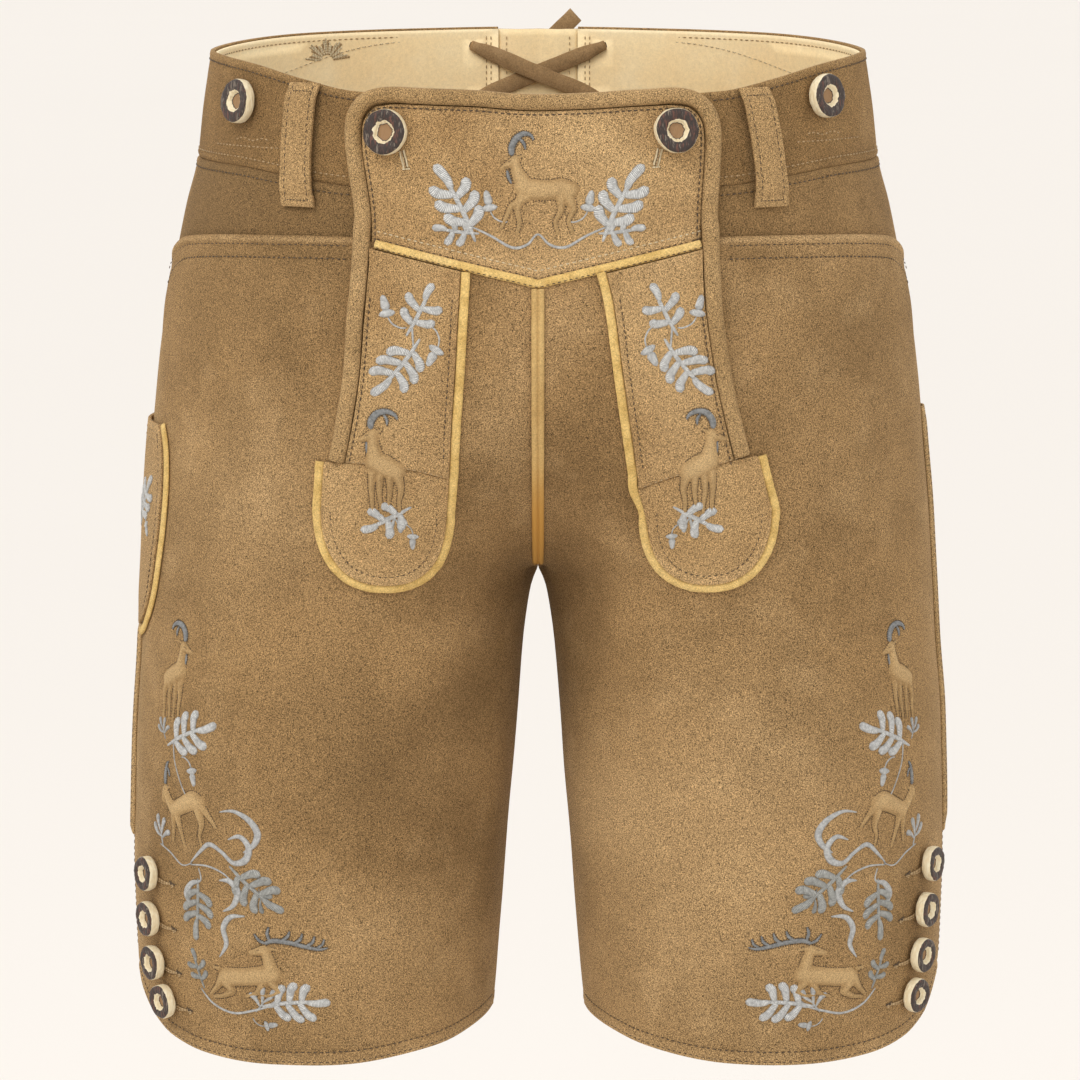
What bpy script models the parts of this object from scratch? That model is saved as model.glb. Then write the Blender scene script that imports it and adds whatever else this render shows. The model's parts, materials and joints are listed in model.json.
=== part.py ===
"""Short leather trousers with a drop flap, filled out as worn but with nobody inside.

Metres, +Z up. The front faces -Y and the wearer's right side is at -X. The origin is on the
body's axis, at mid height of the waistband's sides. Every cut piece is a closed wall of leather
that follows one body surface at its own distance, 0.3 mm clear of the pieces it is sewn to.
"""
import math
from dataclasses import dataclass

import bmesh
import bpy
from mathutils import Vector

MM = 0.001

# Walls and clearances, in millimetres like every table below
WALL = 2.2
BAND_WALL = 2.4
LINING_WALL = 1.1
SEAM = 0.15
CLEAR = 0.4
LIFT = WALL + CLEAR

# The body surface, by height
CROTCH_LEVEL = -228.5
HIP_LEVEL = -150.0
SADDLE_WIDTH = 42.0
ROUNDNESS = 2.2
LEG_FULLNESS = 0.83
LEG_BLEND = 100.0
BODY = {
    "level": (-480, -452, -432, -401, -380, -350, -329, -298, -268, -247.5, -237.5, -228.5,
              -197, -147, -97, -67, -47, -27, 0, 27, 40),
    "half_width": (197.5, 199.6, 201.4, 202.8, 203.2, 202.8, 202.2, 201.0, 198.8, 197.6, 197.0, 196.4,
                   194.2, 189.6, 183.4, 177.8, 173.6, 168.4, 165.2, 161.4, 160.5),
    "front_depth": (103, 104, 105, 107, 109, 112, 114.5, 118, 121, 123, 124, 125,
                    128, 130, 129, 127, 125, 123, 120.5, 119, 118.5),
    "back_depth": (111, 112.5, 114, 116.5, 119, 123, 126.5, 132, 137, 140, 141.5, 143,
                   147, 148, 143, 137, 132, 127.5, 124.5, 122, 121),
    "inner_gap": (25.5, 23.2, 21.2, 18.7, 17.2, 15.0, 13.2, 10.9, 8.2, 5.4, 3.4, 0,
                  0, 0, 0, 0, 0, 0, 0, 0, 0),
}

# Edges that run round the body, by angle: 90 at centre front, 0 at the side, -90 at centre back
RIM = {"angle": (-90, -45, 0, 10, 20, 33, 48, 60, 75, 90),
       "level": (33.8, 31.9, 27.3, 27.0, 26.0, 23.6, 17.4, 12.3, 11.0, 11.0)}
WAIST_SEAM = {"angle": (-90, -45, 0, 30, 45, 53, 61, 90),
              "level": (-22, -23, -24.5, -25.3, -28.2, -30.7, -32.4, -34)}
POCKET_EDGE = {"angle": (0, 4, 8, 12, 17, 24, 40, 60, 90),
               "level": (-78.5, -73.5, -69.0, -65.6, -62.4, -60.4, -57.8, -56.4, -56.4)}
POCKET_TUCK = 17.0
TUCK_LEVEL = -94.0
FLAT_LEVEL = -128.0

# The flap's V seam: level at the centre line and its rise for each millimetre sideways
V_LEVEL = -77.2
V_RISE = 0.233
FLAP_HALF = 78.0

# Hem, by the share of the leg's width from the inseam to the side
FRONT_HEM = {"share": (0, 0.05, 0.15, 0.4, 0.6, 0.8, 0.9, 0.96, 1),
             "level": (-453, -456, -460, -465, -465.5, -463, -458.5, -451, -437)}
BACK_HEM = {"share": (0, 0.05, 0.15, 0.4, 0.6, 0.8, 0.9, 0.96, 1),
            "level": (-453, -455, -458, -461, -461, -459, -456, -450, -440)}

PANEL_COLUMNS = 14
FRONT_ROWS = (-94, -111, -128, -146, -164, -181, -197, -210, -219, -225, -228.5, -232, -238, -247,
              -260, -278, -300, -326, -352, -378, -402, -424)
BACK_ROWS = (-46, -66, -88, -108, -128, -148, -166, -183, -198, -210, -219, -225, -228.5, -232, -238,
             -247, -260, -278, -300, -326, -352, -378, -402, -424)

# Centre line of the padded edge round the flap, from the wearer's right strip over the top
WELT_PATH = ((-95.1, -162.6), (-92.9, -152), (-91.0, -141), (-89.0, -130), (-87.4, -118.7),
             (-86.1, -106), (-85.2, -94), (-83.8, -81), (-82.8, -69), (-82.2, -58), (-82.2, -47.4),
             (-83.2, -38), (-84.6, -29), (-85.9, -20), (-86.8, -11.8), (-86.9, -5), (-85.8, 1),
             (-82.7, 6.2), (-77.5, 9.6), (-69, 10.9), (-55.5, 10.5), (-41, 10.1), (-27.2, 9.6),
             (-13, 8.4), (0, 7.9), (13, 8.2), (29, 8.8), (41, 9.6), (52.8, 10.1), (64, 10.6),
             (72, 9.3), (77.4, 5.8), (80.8, 0.5), (82.2, -5.5), (82.4, -11.7), (82.1, -20),
             (81.6, -29), (80.9, -39), (80.5, -49.4), (80.6, -60), (81, -71.3), (81.6, -82),
             (82.6, -93.9), (84.5, -106), (87, -118.6), (89.3, -130), (91.8, -140.3), (94.2, -150),
             (96.8, -160.3))
WELT_SECTION = ((-3.8, 1.2), (-3.3, 3.4), (-1.5, 4.6), (1.5, 4.6), (3.3, 3.4), (3.8, 1.2), (3.0, 0),
                (-3.0, 0))

# Flap strips and their round ends: edges without the piping, by height
PIPING_WIDTH = 4.0
STRIP_RIGHT = {"level": (-171.7, -163, -146.8, -130, -108.2, -69.6),
               "inner": (-42.8, -42.2, -41.2, -39.9, -38.2, -35.8),
               "outer": (-92.4, -90.9, -87.6, -84.7, -81.9, -78.4)}
STRIP_LEFT = {"level": (-171.6, -160.3, -146.8, -117.8, -84.6, -69.6),
              "inner": (48.1, 46.3, 44.2, 39.8, 35.0, 31.2),
              "outer": (95.2, 92.3, 89.0, 82.6, 77.3, 76.5)}
TAB_SEAM_RIGHT = {"across": (-108, -96.7, -79.9, -60.8, -39.5),
                  "level": (-163.3, -163.5, -164.4, -166.5, -171.6)}
TAB_SEAM_LEFT = {"across": (42, 48.6, 62.9, 77.2, 101.2, 112),
                 "level": (-177.5, -175.5, -170.5, -166.8, -161.3, -160.5)}
TAB_RIGHT = {"centre": -73.6, "half": 29.3, "spring": -187.0, "drop": 36.3, "top_inner": -42.8,
             "top_outer": -101.0}
TAB_LEFT = {"centre": 81.8, "half": 29.2, "spring": -187.0, "drop": 36.3, "top_inner": 48.1,
            "top_outer": 104.4}
TAB_SQUARENESS = 2.3
BAND_SECTION = ((-2.0, 0), (-2.0, 1.0), (-1.1, 1.6), (1.1, 1.6), (2.0, 1.0), (2.0, 0))
CENTRE_SECTION = ((-3.0, 0), (-3.0, 1.1), (-1.8, 1.9), (-0.6, 1.7), (0, 1.0), (0.6, 1.7), (1.8, 1.9),
                  (3.0, 1.1), (3.0, 0))
CENTRE_LEVELS = (-80.0, -92, -104, -118, -132, -146, -158, -169, -179, -188, -196, -203, -209, -214,
                 -218, -221.5)

# Belt loops: middle line at the top and the bottom, seen from the front
LOOP_HALF = 6.4
LOOP_WALL = 2.0
LOOP_GAP = 3.2
FRONT_LOOPS = {"right": (-109.8, -113.2), "left": (101.6, 110.2)}
BACK_LOOPS = {"right": (-92.0, -93.0), "left": (92.0, 93.0)}
LOOP_FOOT = -43.5

# Buttons cut from antler: radius, height and the sunk middle
BUTTON = {"radius": 10.7, "height": 6.4, "well": 4.9, "well_depth": 2.6, "neck": 2.6, "stand": 1.6}
LEG_BUTTON = {"radius": 8.6, "height": 6.0, "well": 4.0, "well_depth": 2.4, "neck": 2.2, "stand": 1.5}
BUTTON_SIDES = 14
WAIST_BUTTONS = {"right": (-140.8, 5.0), "left": (135.4, 8.0)}
FLAP_BUTTONS = {"right": (-70.0, -6.8), "left": (63.4, -5.8)}
# Leg buttons by side: forward distance from the side seam and height
LEG_BUTTONS = {"right": ((46, -377), (45, -400), (46.5, -422), (52, -440)),
               "left": ((43, -372.5), (46.5, -395), (48, -417.5), (51, -437))}

# Knife pocket on the wearer's right side seam: reach before and behind the seam, by height
KNIFE = {"level": (-257, -252, -242, -222, -201, -181, -162, -155),
         "fore": (15, 23.5, 31, 37, 41, 42, 38.5, 34),
         "aft": (8, 13, 17, 20, 22, 24, 25, 25)}

# Side seam straps: top and bottom level and half-width
SIDE_STRAPS = {"right": (-261.5, -366.0), "left": (-149.0, -364.0)}
SIDE_STRAP_HALF = 6.5

# Back lacing: two pairs of eyelets beside the gusset
GUSSET_HALF = 20.7
EYELET_ACROSS = 33.5
EYELET_HALF = 3.6
EYELET_LEVELS = (-3.0, 24.0)
LACE_HALF = 4.1
LACE_PINCH = 2.5
LACE_WALL = 1.9

SIDES = {"right": -1.0, "left": 1.0}


@dataclass(frozen=True)
class Finish:
    """Colour and surface of one material."""

    name: str
    colour: tuple
    roughness: float
    metallic: float = 0.0


SUEDE = Finish("leather", (0.250, 0.145, 0.058), 0.88)
BAND_SUEDE = Finish("leather", (0.320, 0.190, 0.078), 0.88)
EDGE_SUEDE = Finish("leather", (0.360, 0.225, 0.105), 0.85)
LINING = Finish("lining", (0.700, 0.510, 0.260), 0.80)
PIPING = Finish("piping", (0.800, 0.530, 0.150), 0.70)
LACE = Finish("lace", (0.290, 0.185, 0.088), 0.75)
ANTLER = Finish("antler", (0.075, 0.040, 0.025), 0.45)


def track(table, key, value, at):
    """Read a table's column at a key, smoothly and without overshoot.

    Args:
        table: columns by name, with the key column rising or falling steadily.
        key: name of the key column.
        value: name of the column to read.
        at: the key to read at; it is held to the table's ends.

    Returns:
        The interpolated value.
    """
    keys, values = table[key], table[value]
    if keys[0] > keys[-1]:
        keys, values = keys[::-1], values[::-1]
    at = min(max(at, keys[0]), keys[-1])
    last = len(keys) - 2
    i = next((k for k in range(last) if at < keys[k + 1]), last)

    def slope(k):
        if k == 0:
            return (values[1] - values[0]) / (keys[1] - keys[0])
        if k == len(keys) - 1:
            return (values[-1] - values[-2]) / (keys[-1] - keys[-2])
        before = (values[k] - values[k - 1]) / (keys[k] - keys[k - 1])
        after = (values[k + 1] - values[k]) / (keys[k + 1] - keys[k])
        if before * after <= 0.0:
            return 0.0
        return 2.0 * before * after / (before + after)

    step = keys[i + 1] - keys[i]
    t = (at - keys[i]) / step
    return ((1 + 2 * t) * (1 - t) ** 2 * values[i] + t * (1 - t) ** 2 * step * slope(i)
            + t * t * (3 - 2 * t) * values[i + 1] + t * t * (t - 1) * step * slope(i + 1))


def ease(t):
    """Smooth step from 0 to 1."""
    t = min(max(t, 0.0), 1.0)
    return t * t * (3.0 - 2.0 * t)


def lerp(a, b, t):
    """Straight blend of two numbers."""
    return a + (b - a) * t


def saddle(z):
    """How far the centre line stands out, squared, at a height: negative between the legs."""
    if z <= CROTCH_LEVEL:
        return -track(BODY, "level", "inner_gap", z) ** 2
    t = (z - CROTCH_LEVEL) / (HIP_LEVEL - CROTCH_LEVEL)
    if t > 1.6:
        share = 1.0
    elif t < 0.4:
        share = t
    else:
        u = (t - 0.4) / 1.2
        share = 0.4 + 1.2 * (u - u * u / 2.0)
    return SADDLE_WIDTH ** 2 * share


def depth_squared(x, z, back):
    """Square of the body's depth at a distance from the middle plane and a height."""
    x = abs(x)
    width = track(BODY, "level", "half_width", z)
    depth = track(BODY, "level", "back_depth" if back else "front_depth", z)
    trunk = depth ** 2 * (1.0 - (x / width) ** ROUNDNESS) * (x * x + saddle(z)) / (x * x + SADDLE_WIDTH ** 2)
    leg = ease((CROTCH_LEVEL - z) / LEG_BLEND)
    if leg <= 0.0:
        return trunk
    gap = track(BODY, "level", "inner_gap", z)
    fullness = LEG_FULLNESS * depth / ((width - gap) / 2.0)
    return trunk * (1.0 - leg) + fullness ** 2 * (width - x) * (x - gap) * leg


def outward(x, y, z, back):
    """Unit normal of the body surface."""
    side = 1.0 if x >= 0 else -1.0
    across = (depth_squared(abs(x) + 0.05, z, back) - depth_squared(abs(x) - 0.05, z, back)) / 0.1
    along = (depth_squared(x, z + 0.8, back) - depth_squared(x, z - 0.8, back)) / 1.6
    return Vector((-across * side, 2.0 * y, -along)).normalized()


def on_body(x, z, offset, back=False):
    """Point at a distance outside the body surface, in front or at the back.

    Args:
        x: distance from the middle plane.
        z: height.
        offset: distance outside the surface.
        back: True for the back half.

    Returns:
        The point, in millimetres.
    """
    y = math.sqrt(max(depth_squared(x, z, back), SEAM ** 2))
    point = Vector((x, y if back else -y, z))
    return point + outward(point.x, point.y, z, back) * offset


def on_side(side, y, z, offset):
    """Point at a distance outside the body surface, near a side seam.

    Args:
        side: -1 or 1, the side in x.
        y: signed depth, negative in front of the seam.
        z: height.
        offset: distance outside the surface.

    Returns:
        The point, in millimetres.
    """
    back = y > 0
    low = 0.55 * track(BODY, "level", "half_width", z)
    high = track(BODY, "level", "half_width", z)
    for _ in range(40):
        middle = (low + high) / 2.0
        if depth_squared(middle, z, back) > y * y:
            low = middle
        else:
            high = middle
    point = Vector((side * high, y, z))
    return point + outward(point.x, point.y, z, back) * offset


def round_body(side, angle, z, offset):
    """Point outside the trunk at an angle: 90 at centre front, 0 at the side, -90 at centre back."""
    width = track(BODY, "level", "half_width", z)
    x = width * max(math.cos(math.radians(angle)), 0.0) ** (2.0 / ROUNDNESS)
    x = side * max(x, SEAM)
    if abs(angle) < 20.0:
        depth = track(BODY, "level", "front_depth" if angle > 0 else "back_depth", z)
        return on_side(side, -depth * math.sin(math.radians(angle)), z, offset)
    return on_body(x, z, offset, angle < 0)


def angle_at(x, z):
    """Angle round the trunk of a distance from the middle plane."""
    width = track(BODY, "level", "half_width", z)
    return math.degrees(math.acos(min(abs(x) / width, 1.0) ** (ROUNDNESS / 2.0)))


def across_at(share, z):
    """Distance from the middle plane at a share of the panel's width."""
    width = track(BODY, "level", "half_width", z)
    gap = track(BODY, "level", "inner_gap", z)
    leg = ease((HIP_LEVEL - z) / (HIP_LEVEL - CROTCH_LEVEL))
    trunk_share = math.sin(math.pi * share / 2.0)
    leg_share = (1.0 - math.cos(math.pi * share)) / 2.0
    return gap + (width - gap) * lerp(trunk_share, leg_share, leg)


def panel_lift(z, angle=90.0):
    """Distance of a front panel's outer face from the body surface."""
    return LIFT * ease((z - FLAT_LEVEL) / (TUCK_LEVEL - FLAT_LEVEL)) * ease(angle / 11.0)


def v_seam(x):
    """Height of the flap's V seam."""
    return V_LEVEL + V_RISE * abs(x)


def shell(name, columns, rows, place, finish, holes=()):
    """Closed wall of leather, extruded from a grid.

    Args:
        name: node name.
        columns: grid cells across.
        rows: grid cells up.
        place: function of column share, row share and face (0 outer, 1 inner) giving a point.
        finish: the material.
        holes: grid cells left out, as (column, row).

    Returns:
        The object.
    """
    bm = bmesh.new()
    share = bm.verts.layers.float_vector.new("share")
    bmesh.ops.create_grid(bm, x_segments=columns, y_segments=rows, size=0.5)
    for vert in bm.verts:
        vert[share] = vert.co + Vector((0.5, 0.5, 0.0))
    if holes:
        cut = [face for face in bm.faces
               if (int((face.calc_center_median().x + 0.5) * columns),
                   int((face.calc_center_median().y + 0.5) * rows)) in holes]
        bmesh.ops.delete(bm, geom=cut, context="FACES")
    grown = bmesh.ops.extrude_face_region(bm, geom=bm.faces[:], use_keep_orig=True)
    inner = {item for item in grown["geom"] if isinstance(item, bmesh.types.BMVert)}
    for vert in bm.verts:
        vert.co = place(vert[share].x, vert[share].y, 1 if vert in inner else 0) * MM
    return finished(name, bm, finish)


def sweep(name, stations, finish):
    """Closed bar whose end face is extruded from section to section.

    Args:
        name: node name.
        stations: lists of section points in order, each list as long as the first.
        finish: the material.

    Returns:
        The object.
    """
    bm = bmesh.new()
    corner = bm.verts.layers.int.new("corner")
    bmesh.ops.create_circle(bm, cap_ends=True, segments=len(stations[0]), radius=1.0)
    face = bm.faces[:][0]
    for index, vert in enumerate(face.verts):
        vert[corner] = index
        vert.co = stations[0][index] * MM
    for number, points in enumerate(stations[1:]):
        grown = bmesh.ops.extrude_face_region(bm, geom=[face], use_keep_orig=True)
        if number:
            bm.faces.remove(face)
        face = next(item for item in grown["geom"] if isinstance(item, bmesh.types.BMFace))
        for vert in face.verts:
            vert.co = points[vert[corner]] * MM
    return finished(name, bm, finish)


def finished(name, bm, finish):
    """Turn a bmesh into a named object with its material."""
    bmesh.ops.recalc_face_normals(bm, faces=bm.faces)
    if bm.calc_volume(signed=True) < 0.0:
        bmesh.ops.reverse_faces(bm, faces=bm.faces)
    mesh = bpy.data.meshes.new(name)
    bm.to_mesh(mesh)
    bm.free()
    thing = bpy.data.objects.new(name, mesh)
    bpy.data.collections[COLLECTION].objects.link(thing)
    thing.data.materials.append(material(name, finish))
    return thing


def material(name, finish):
    """Principled material for one piece."""
    made = bpy.data.materials.new(f"{name}_{finish.name}")
    made.use_nodes = True
    shader = made.node_tree.nodes["Principled BSDF"]
    shader.inputs["Base Color"].default_value = (*finish.colour, 1.0)
    shader.inputs["Roughness"].default_value = finish.roughness
    shader.inputs["Metallic"].default_value = finish.metallic
    made.diffuse_color = (*finish.colour, 1.0)
    return made


def band_on(name, path, section, offset, finish, put=on_body):
    """Narrow trim along a path drawn on the surface.

    Args:
        name: node name.
        path: (across, level) points of the trim's middle line.
        section: (sideways, height) points round the trim's section.
        offset: function of across and level giving the height of the trim's underside.
        finish: the material.
        put: function of across, level and offset giving a point.

    Returns:
        The object.
    """
    stations = []
    for index, (x, z) in enumerate(path):
        before, after = path[max(index - 1, 0)], path[min(index + 1, len(path) - 1)]
        first = Vector((x - before[0], z - before[1]))
        second = Vector((after[0] - x, after[1] - z))
        first = first.normalized() if first.length > 0 else second.normalized()
        second = second.normalized() if second.length > 0 else first
        along = (first + second).normalized()
        spread = 1.0 / max(along.dot(first), 0.5)
        stations.append([put(x - along.y * side * spread, z + along.x * side * spread,
                             offset(x, z) + height) for side, height in section])
    return sweep(name, stations, finish)


def front_panel(word):
    """Front leg panel, from the pocket edge and the V seam down to the hem."""
    side = SIDES[word]

    def top_level(share):
        z = -62.0
        for _ in range(6):
            x = across_at(share, z)
            angle = angle_at(x, z)
            inside = v_seam(x) - SEAM
            outside = track(POCKET_EDGE, "angle", "level", angle)
            z = lerp(outside, inside, ease((FLAP_HALF + 6.0 - x) / 8.0))
        return z

    rows = len(FRONT_ROWS) + 3
    tops = {}

    def place(u, v, face):
        column = round(u * PANEL_COLUMNS)
        if column not in tops:
            tops[column] = top_level(u)
        row = rows - round(v * rows)
        z = row_level(row, tops[column], FRONT_ROWS, FRONT_HEM, u)
        x = across_at(u, z)
        angle = angle_at(x, z) if z > FLAT_LEVEL else 90.0
        offset = panel_lift(z, angle) - WALL * face
        if u > 0.97:
            return on_side(side, -SEAM, z, offset)
        return on_body(side * max(x, SEAM), z, offset)

    return shell(f"front_{word}", PANEL_COLUMNS, rows, place, SUEDE)


def row_level(row, top, levels, hem_table, share):
    """Height of a panel's row: the top edge, one row under it, the table's rows and the hem."""
    hem = track(hem_table, "share", "level", (1.0 - math.cos(math.pi * share)) / 2.0)
    if row == 0:
        return top
    if row == 1:
        return lerp(top, levels[0], 0.45)
    if row - 2 < len(levels):
        level = levels[row - 2]
        room = (level - levels[-1]) / 50.0
        return max(level, hem + 12.0 + room) if level < -400 else level
    if row - 2 == len(levels):
        return lerp(max(levels[-1], hem + 12.0), hem, 0.5)
    return hem


def back_panel(word):
    """Back leg panel, from the waist seam down to the hem."""
    side = SIDES[word]
    rows = len(BACK_ROWS) + 3

    def place(u, v, face):
        row = rows - round(v * rows)
        angle = -angle_at(across_at(u, -24.0), -24.0)
        top = track(WAIST_SEAM, "angle", "level", angle) - SEAM
        z = row_level(row, top, BACK_ROWS, BACK_HEM, u)
        x = across_at(u, z)
        if u > 0.97:
            return on_side(side, SEAM, z, -WALL * face)
        return on_body(side * max(x, SEAM), z, -WALL * face, True)

    return shell(f"back_{word}", PANEL_COLUMNS, rows, place, SUEDE)


def hip_yoke(word):
    """Pocket facing between the waist seam and the pocket edge, tucked under the front panel."""
    side = SIDES[word]

    def place(u, v, face):
        angle = lerp(0.0, 66.0, u)
        top = track(WAIST_SEAM, "angle", "level", angle) - SEAM
        bottom = track(POCKET_EDGE, "angle", "level", angle) + 2.0 * SEAM
        bottom -= (POCKET_TUCK + 2.0 * SEAM) * ease((angle - 12.0) / 12.0)
        z = lerp(bottom, top, v)
        if u < 0.01:
            return on_side(side, -SEAM, z, -WALL * face)
        return round_body(side, angle, z, -WALL * face)

    return shell(f"hip_yoke_{word}", 12, 4, place, SUEDE)


def band_angles():
    """Angles of the waistband's columns, with columns beside each eyelet."""
    ends = [-angle_at(x, 0.0) for x in
            (EYELET_ACROSS + EYELET_HALF, EYELET_ACROSS - EYELET_HALF, GUSSET_HALF + 2 * SEAM)]
    return [90.0 - 10.0 * k for k in range(16)] + [-67.0] + ends


def band_place(side, wall, outer, top_drop, bottom_level):
    """Point function of a band round the waist, its eyelet rows level with the eyelets."""
    angles = band_angles()
    columns = len(angles) - 1
    eyelet = (EYELET_ACROSS + EYELET_HALF, EYELET_ACROSS - EYELET_HALF)
    seat = (eyelet[0] + 12.0, *eyelet, GUSSET_HALF + 2 * SEAM)

    def place(u, v, face):
        column = round(u * columns)
        angle = angles[column]
        top = track(RIM, "angle", "level", angle) - top_drop
        bottom = bottom_level(angle)
        marks = [bottom, EYELET_LEVELS[0] - EYELET_HALF, EYELET_LEVELS[0] + EYELET_HALF,
                 EYELET_LEVELS[1] - EYELET_HALF, EYELET_LEVELS[1] + EYELET_HALF, top]
        even = [lerp(bottom, top, k / 5.0) for k in range(6)]
        row = round(v * 5)
        z = lerp(even[row], marks[row], ease((-angle - 40.0) / 30.0))
        if column > columns - 4:
            return on_body(side * seat[column - columns + 3], z, outer - wall * face, True)
        if column == 0:
            return on_body(side * SEAM, z, outer - wall * face)
        return round_body(side, angle, z, outer - wall * face)

    return columns, place


def waistband(word):
    """Half of the waistband, from centre front to the gusset, with its two eyelets."""
    columns, place = band_place(SIDES[word], BAND_WALL, 0.0, 0.0,
                                lambda angle: track(WAIST_SEAM, "angle", "level", angle) + SEAM)
    return shell(f"waistband_{word}", columns, 5, place, BAND_SUEDE,
                 {(columns - 2, 1), (columns - 2, 3)})


def lining(word):
    """Pale facing inside the waistband, which shows through the open waist."""
    columns, place = band_place(SIDES[word], LINING_WALL, -BAND_WALL - 2 * SEAM, 0.6,
                                lambda angle: track(WAIST_SEAM, "angle", "level", angle) + SEAM)
    return shell(f"lining_{word}", columns, 5, place, LINING,
                 {(columns - 2, 1), (columns - 2, 3)})


def gusset():
    """Soft wedge at centre back that the lacing closes."""

    def place(u, v, face):
        x = lerp(-GUSSET_HALF, GUSSET_HALF, u)
        z = lerp(-22.0 + SEAM, 32.6, v)
        return on_body(x, z, -1.2 + 0.9 * math.cos(math.pi * (2 * u - 1) * 2) - WALL * face, True)

    return shell("back_gusset", 8, 4, place, SUEDE)


def flap_yoke():
    """Upper part of the drop flap, above the V seam."""
    edges = {"level": (-61, -58, -47.4, -29, -11.8, -5, 1, 5.5),
             "right": (-78.0, -78.0, -78.1, -80.4, -82.6, -82.5, -80.4, -75.5),
             "left": (76.4, 76.4, 76.4, 77.4, 78.2, 77.7, 75.4, 70.0)}
    tops = {"across": (-76, -66, -55.5, -41, -27.2, -13, 0, 13, 29, 41, 52.8, 62, 71),
            "level": (5.2, 6.5, 6.3, 5.9, 5.4, 4.2, 3.7, 4.0, 4.6, 5.4, 5.9, 6.2, 5.0)}

    def place(u, v, face):
        u = (1.0 - math.cos(math.pi * u)) / 2.0 * 0.35 + u * 0.65
        z = lerp(-60.0, 5.0, v)
        x = lerp(-78.0, 76.4, u)
        for _ in range(8):
            x = lerp(track(edges, "level", "right", z), track(edges, "level", "left", z), u)
            z = lerp(v_seam(x) + SEAM, track(tops, "across", "level", x), v)
        return on_body(x, z, LIFT - WALL * face)

    return shell("flap_yoke", 16, 7, place, SUEDE)


def strip(word):
    """Strip of the flap that runs down from the V seam."""
    table, seam = (STRIP_RIGHT, TAB_SEAM_RIGHT) if word == "right" else (STRIP_LEFT, TAB_SEAM_LEFT)

    def place(u, v, face):
        z = lerp(-165.0, -62.0, v)
        for _ in range(8):
            x = lerp(track(table, "level", "inner", z), track(table, "level", "outer", z), u)
            bottom = track(seam, "across", "level", x) + SEAM
            z = lerp(bottom, v_seam(x) - 2.6, v)
        return on_body(x, z, panel_lift(z) + CLEAR + WALL * (1 - face))

    return shell(f"strip_{word}", 5, 10, place, SUEDE)


def tab_point(tab, share, grow=0.0):
    """Point on a tab's round end, from the inner side (0) to the outer side (1)."""
    inward = 1.0 if tab["centre"] < 0 else -1.0
    turn = math.pi * share
    across = math.copysign(abs(math.cos(turn)) ** (2.0 / TAB_SQUARENESS), math.cos(turn))
    down = max(math.sin(turn), 0.0) ** (2.0 / TAB_SQUARENESS)
    return (tab["centre"] + inward * (tab["half"] + grow) * across,
            tab["spring"] - (tab["drop"] + grow) * down)


def tab(word):
    """Round end sewn under a strip."""
    shape, seam = (TAB_RIGHT, TAB_SEAM_RIGHT) if word == "right" else (TAB_LEFT, TAB_SEAM_LEFT)

    def place(u, v, face):
        low = tab_point(shape, u)
        x = lerp(shape["top_inner"], shape["top_outer"], (1.0 - math.cos(math.pi * u)) / 2.0)
        high = (x, track(seam, "across", "level", x) - SEAM)
        x, z = lerp(low[0], high[0], v), lerp(low[1], high[1], v)
        return on_body(x, z, panel_lift(z) + CLEAR + WALL * (1 - face))

    return shell(f"tab_{word}", 12, 5, place, EDGE_SUEDE)


def strip_piping(word):
    """Raw-edged piping down the strip's inner edge and round its end."""
    right = word == "right"
    table, shape = (STRIP_RIGHT, TAB_RIGHT) if right else (STRIP_LEFT, TAB_LEFT)
    inward = 1.0 if right else -1.0
    step = PIPING_WIDTH / 2.0 + 2.0 * SEAM
    path = []
    for z in (-74.5, -84, -95, -107, -119, -132, -145, -158, -168):
        path.append((track(table, "level", "inner", z) + inward * step, z))
    seam = TAB_SEAM_RIGHT if right else TAB_SEAM_LEFT
    path.append((shape["top_inner"] + inward * step, track(seam, "across", "level", shape["top_inner"])))
    for k in range(13):
        path.append(tab_point(shape, k / 12.0, step))
    x, z = path[-1]
    top = track(seam, "across", "level", shape["top_outer"])
    for t in (0.5, 1.0):
        path.append((lerp(x, shape["top_outer"] - inward * step, t), lerp(z, top, t)))
    return band_on(f"strip_piping_{word}", path, BAND_SECTION, lambda x, z: panel_lift(z) + CLEAR, PIPING)


def flap_trim():
    """Padded edge of the flap, its V piping and the piping down the centre seam."""

    def welt_offset(x, z):
        return lerp(panel_lift(z), 0.0, ease((z + 54.0) / 9.0)) + CLEAR

    band_on("flap_welt", WELT_PATH, WELT_SECTION, welt_offset, EDGE_SUEDE)
    reach = 76.0
    steps = [reach * (k / 8.0 - 1.0) for k in range(8)] + [0.0] + [reach * k / 8.0 for k in range(1, 9)]
    band_on("v_piping", [(x, v_seam(x)) for x in steps], BAND_SECTION, lambda x, z: LIFT + CLEAR, PIPING)
    band_on("centre_piping", [(0.0, z) for z in CENTRE_LEVELS], CENTRE_SECTION,
            lambda x, z: panel_lift(z) + CLEAR + 0.15, PIPING)


def belt_loop(name, ends, back):
    """Leather loop that stands off the waistband between its sewn ends."""
    rows = 12

    def place(u, v, face):
        middle = lerp(ends[1], ends[0], v)
        x = middle + lerp(-LOOP_HALF, LOOP_HALF, u)
        width = track(BODY, "level", "half_width", 10.0)
        angle = math.degrees(math.acos(min(abs(middle) / width, 1.0) ** (ROUNDNESS / 2.0)))
        top = track(RIM, "angle", "level", -angle if back else angle) - 0.8
        z = lerp(LOOP_FOOT, top, v)
        rise = min(ease(v / 0.16), ease((1.0 - v) / 0.14))
        offset = CLEAR + (LOOP_GAP - CLEAR) * rise + LOOP_WALL * (1 - face)
        return on_body(x, z, offset, back)

    return shell(name, 2, rows, place, BAND_SUEDE)


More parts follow.
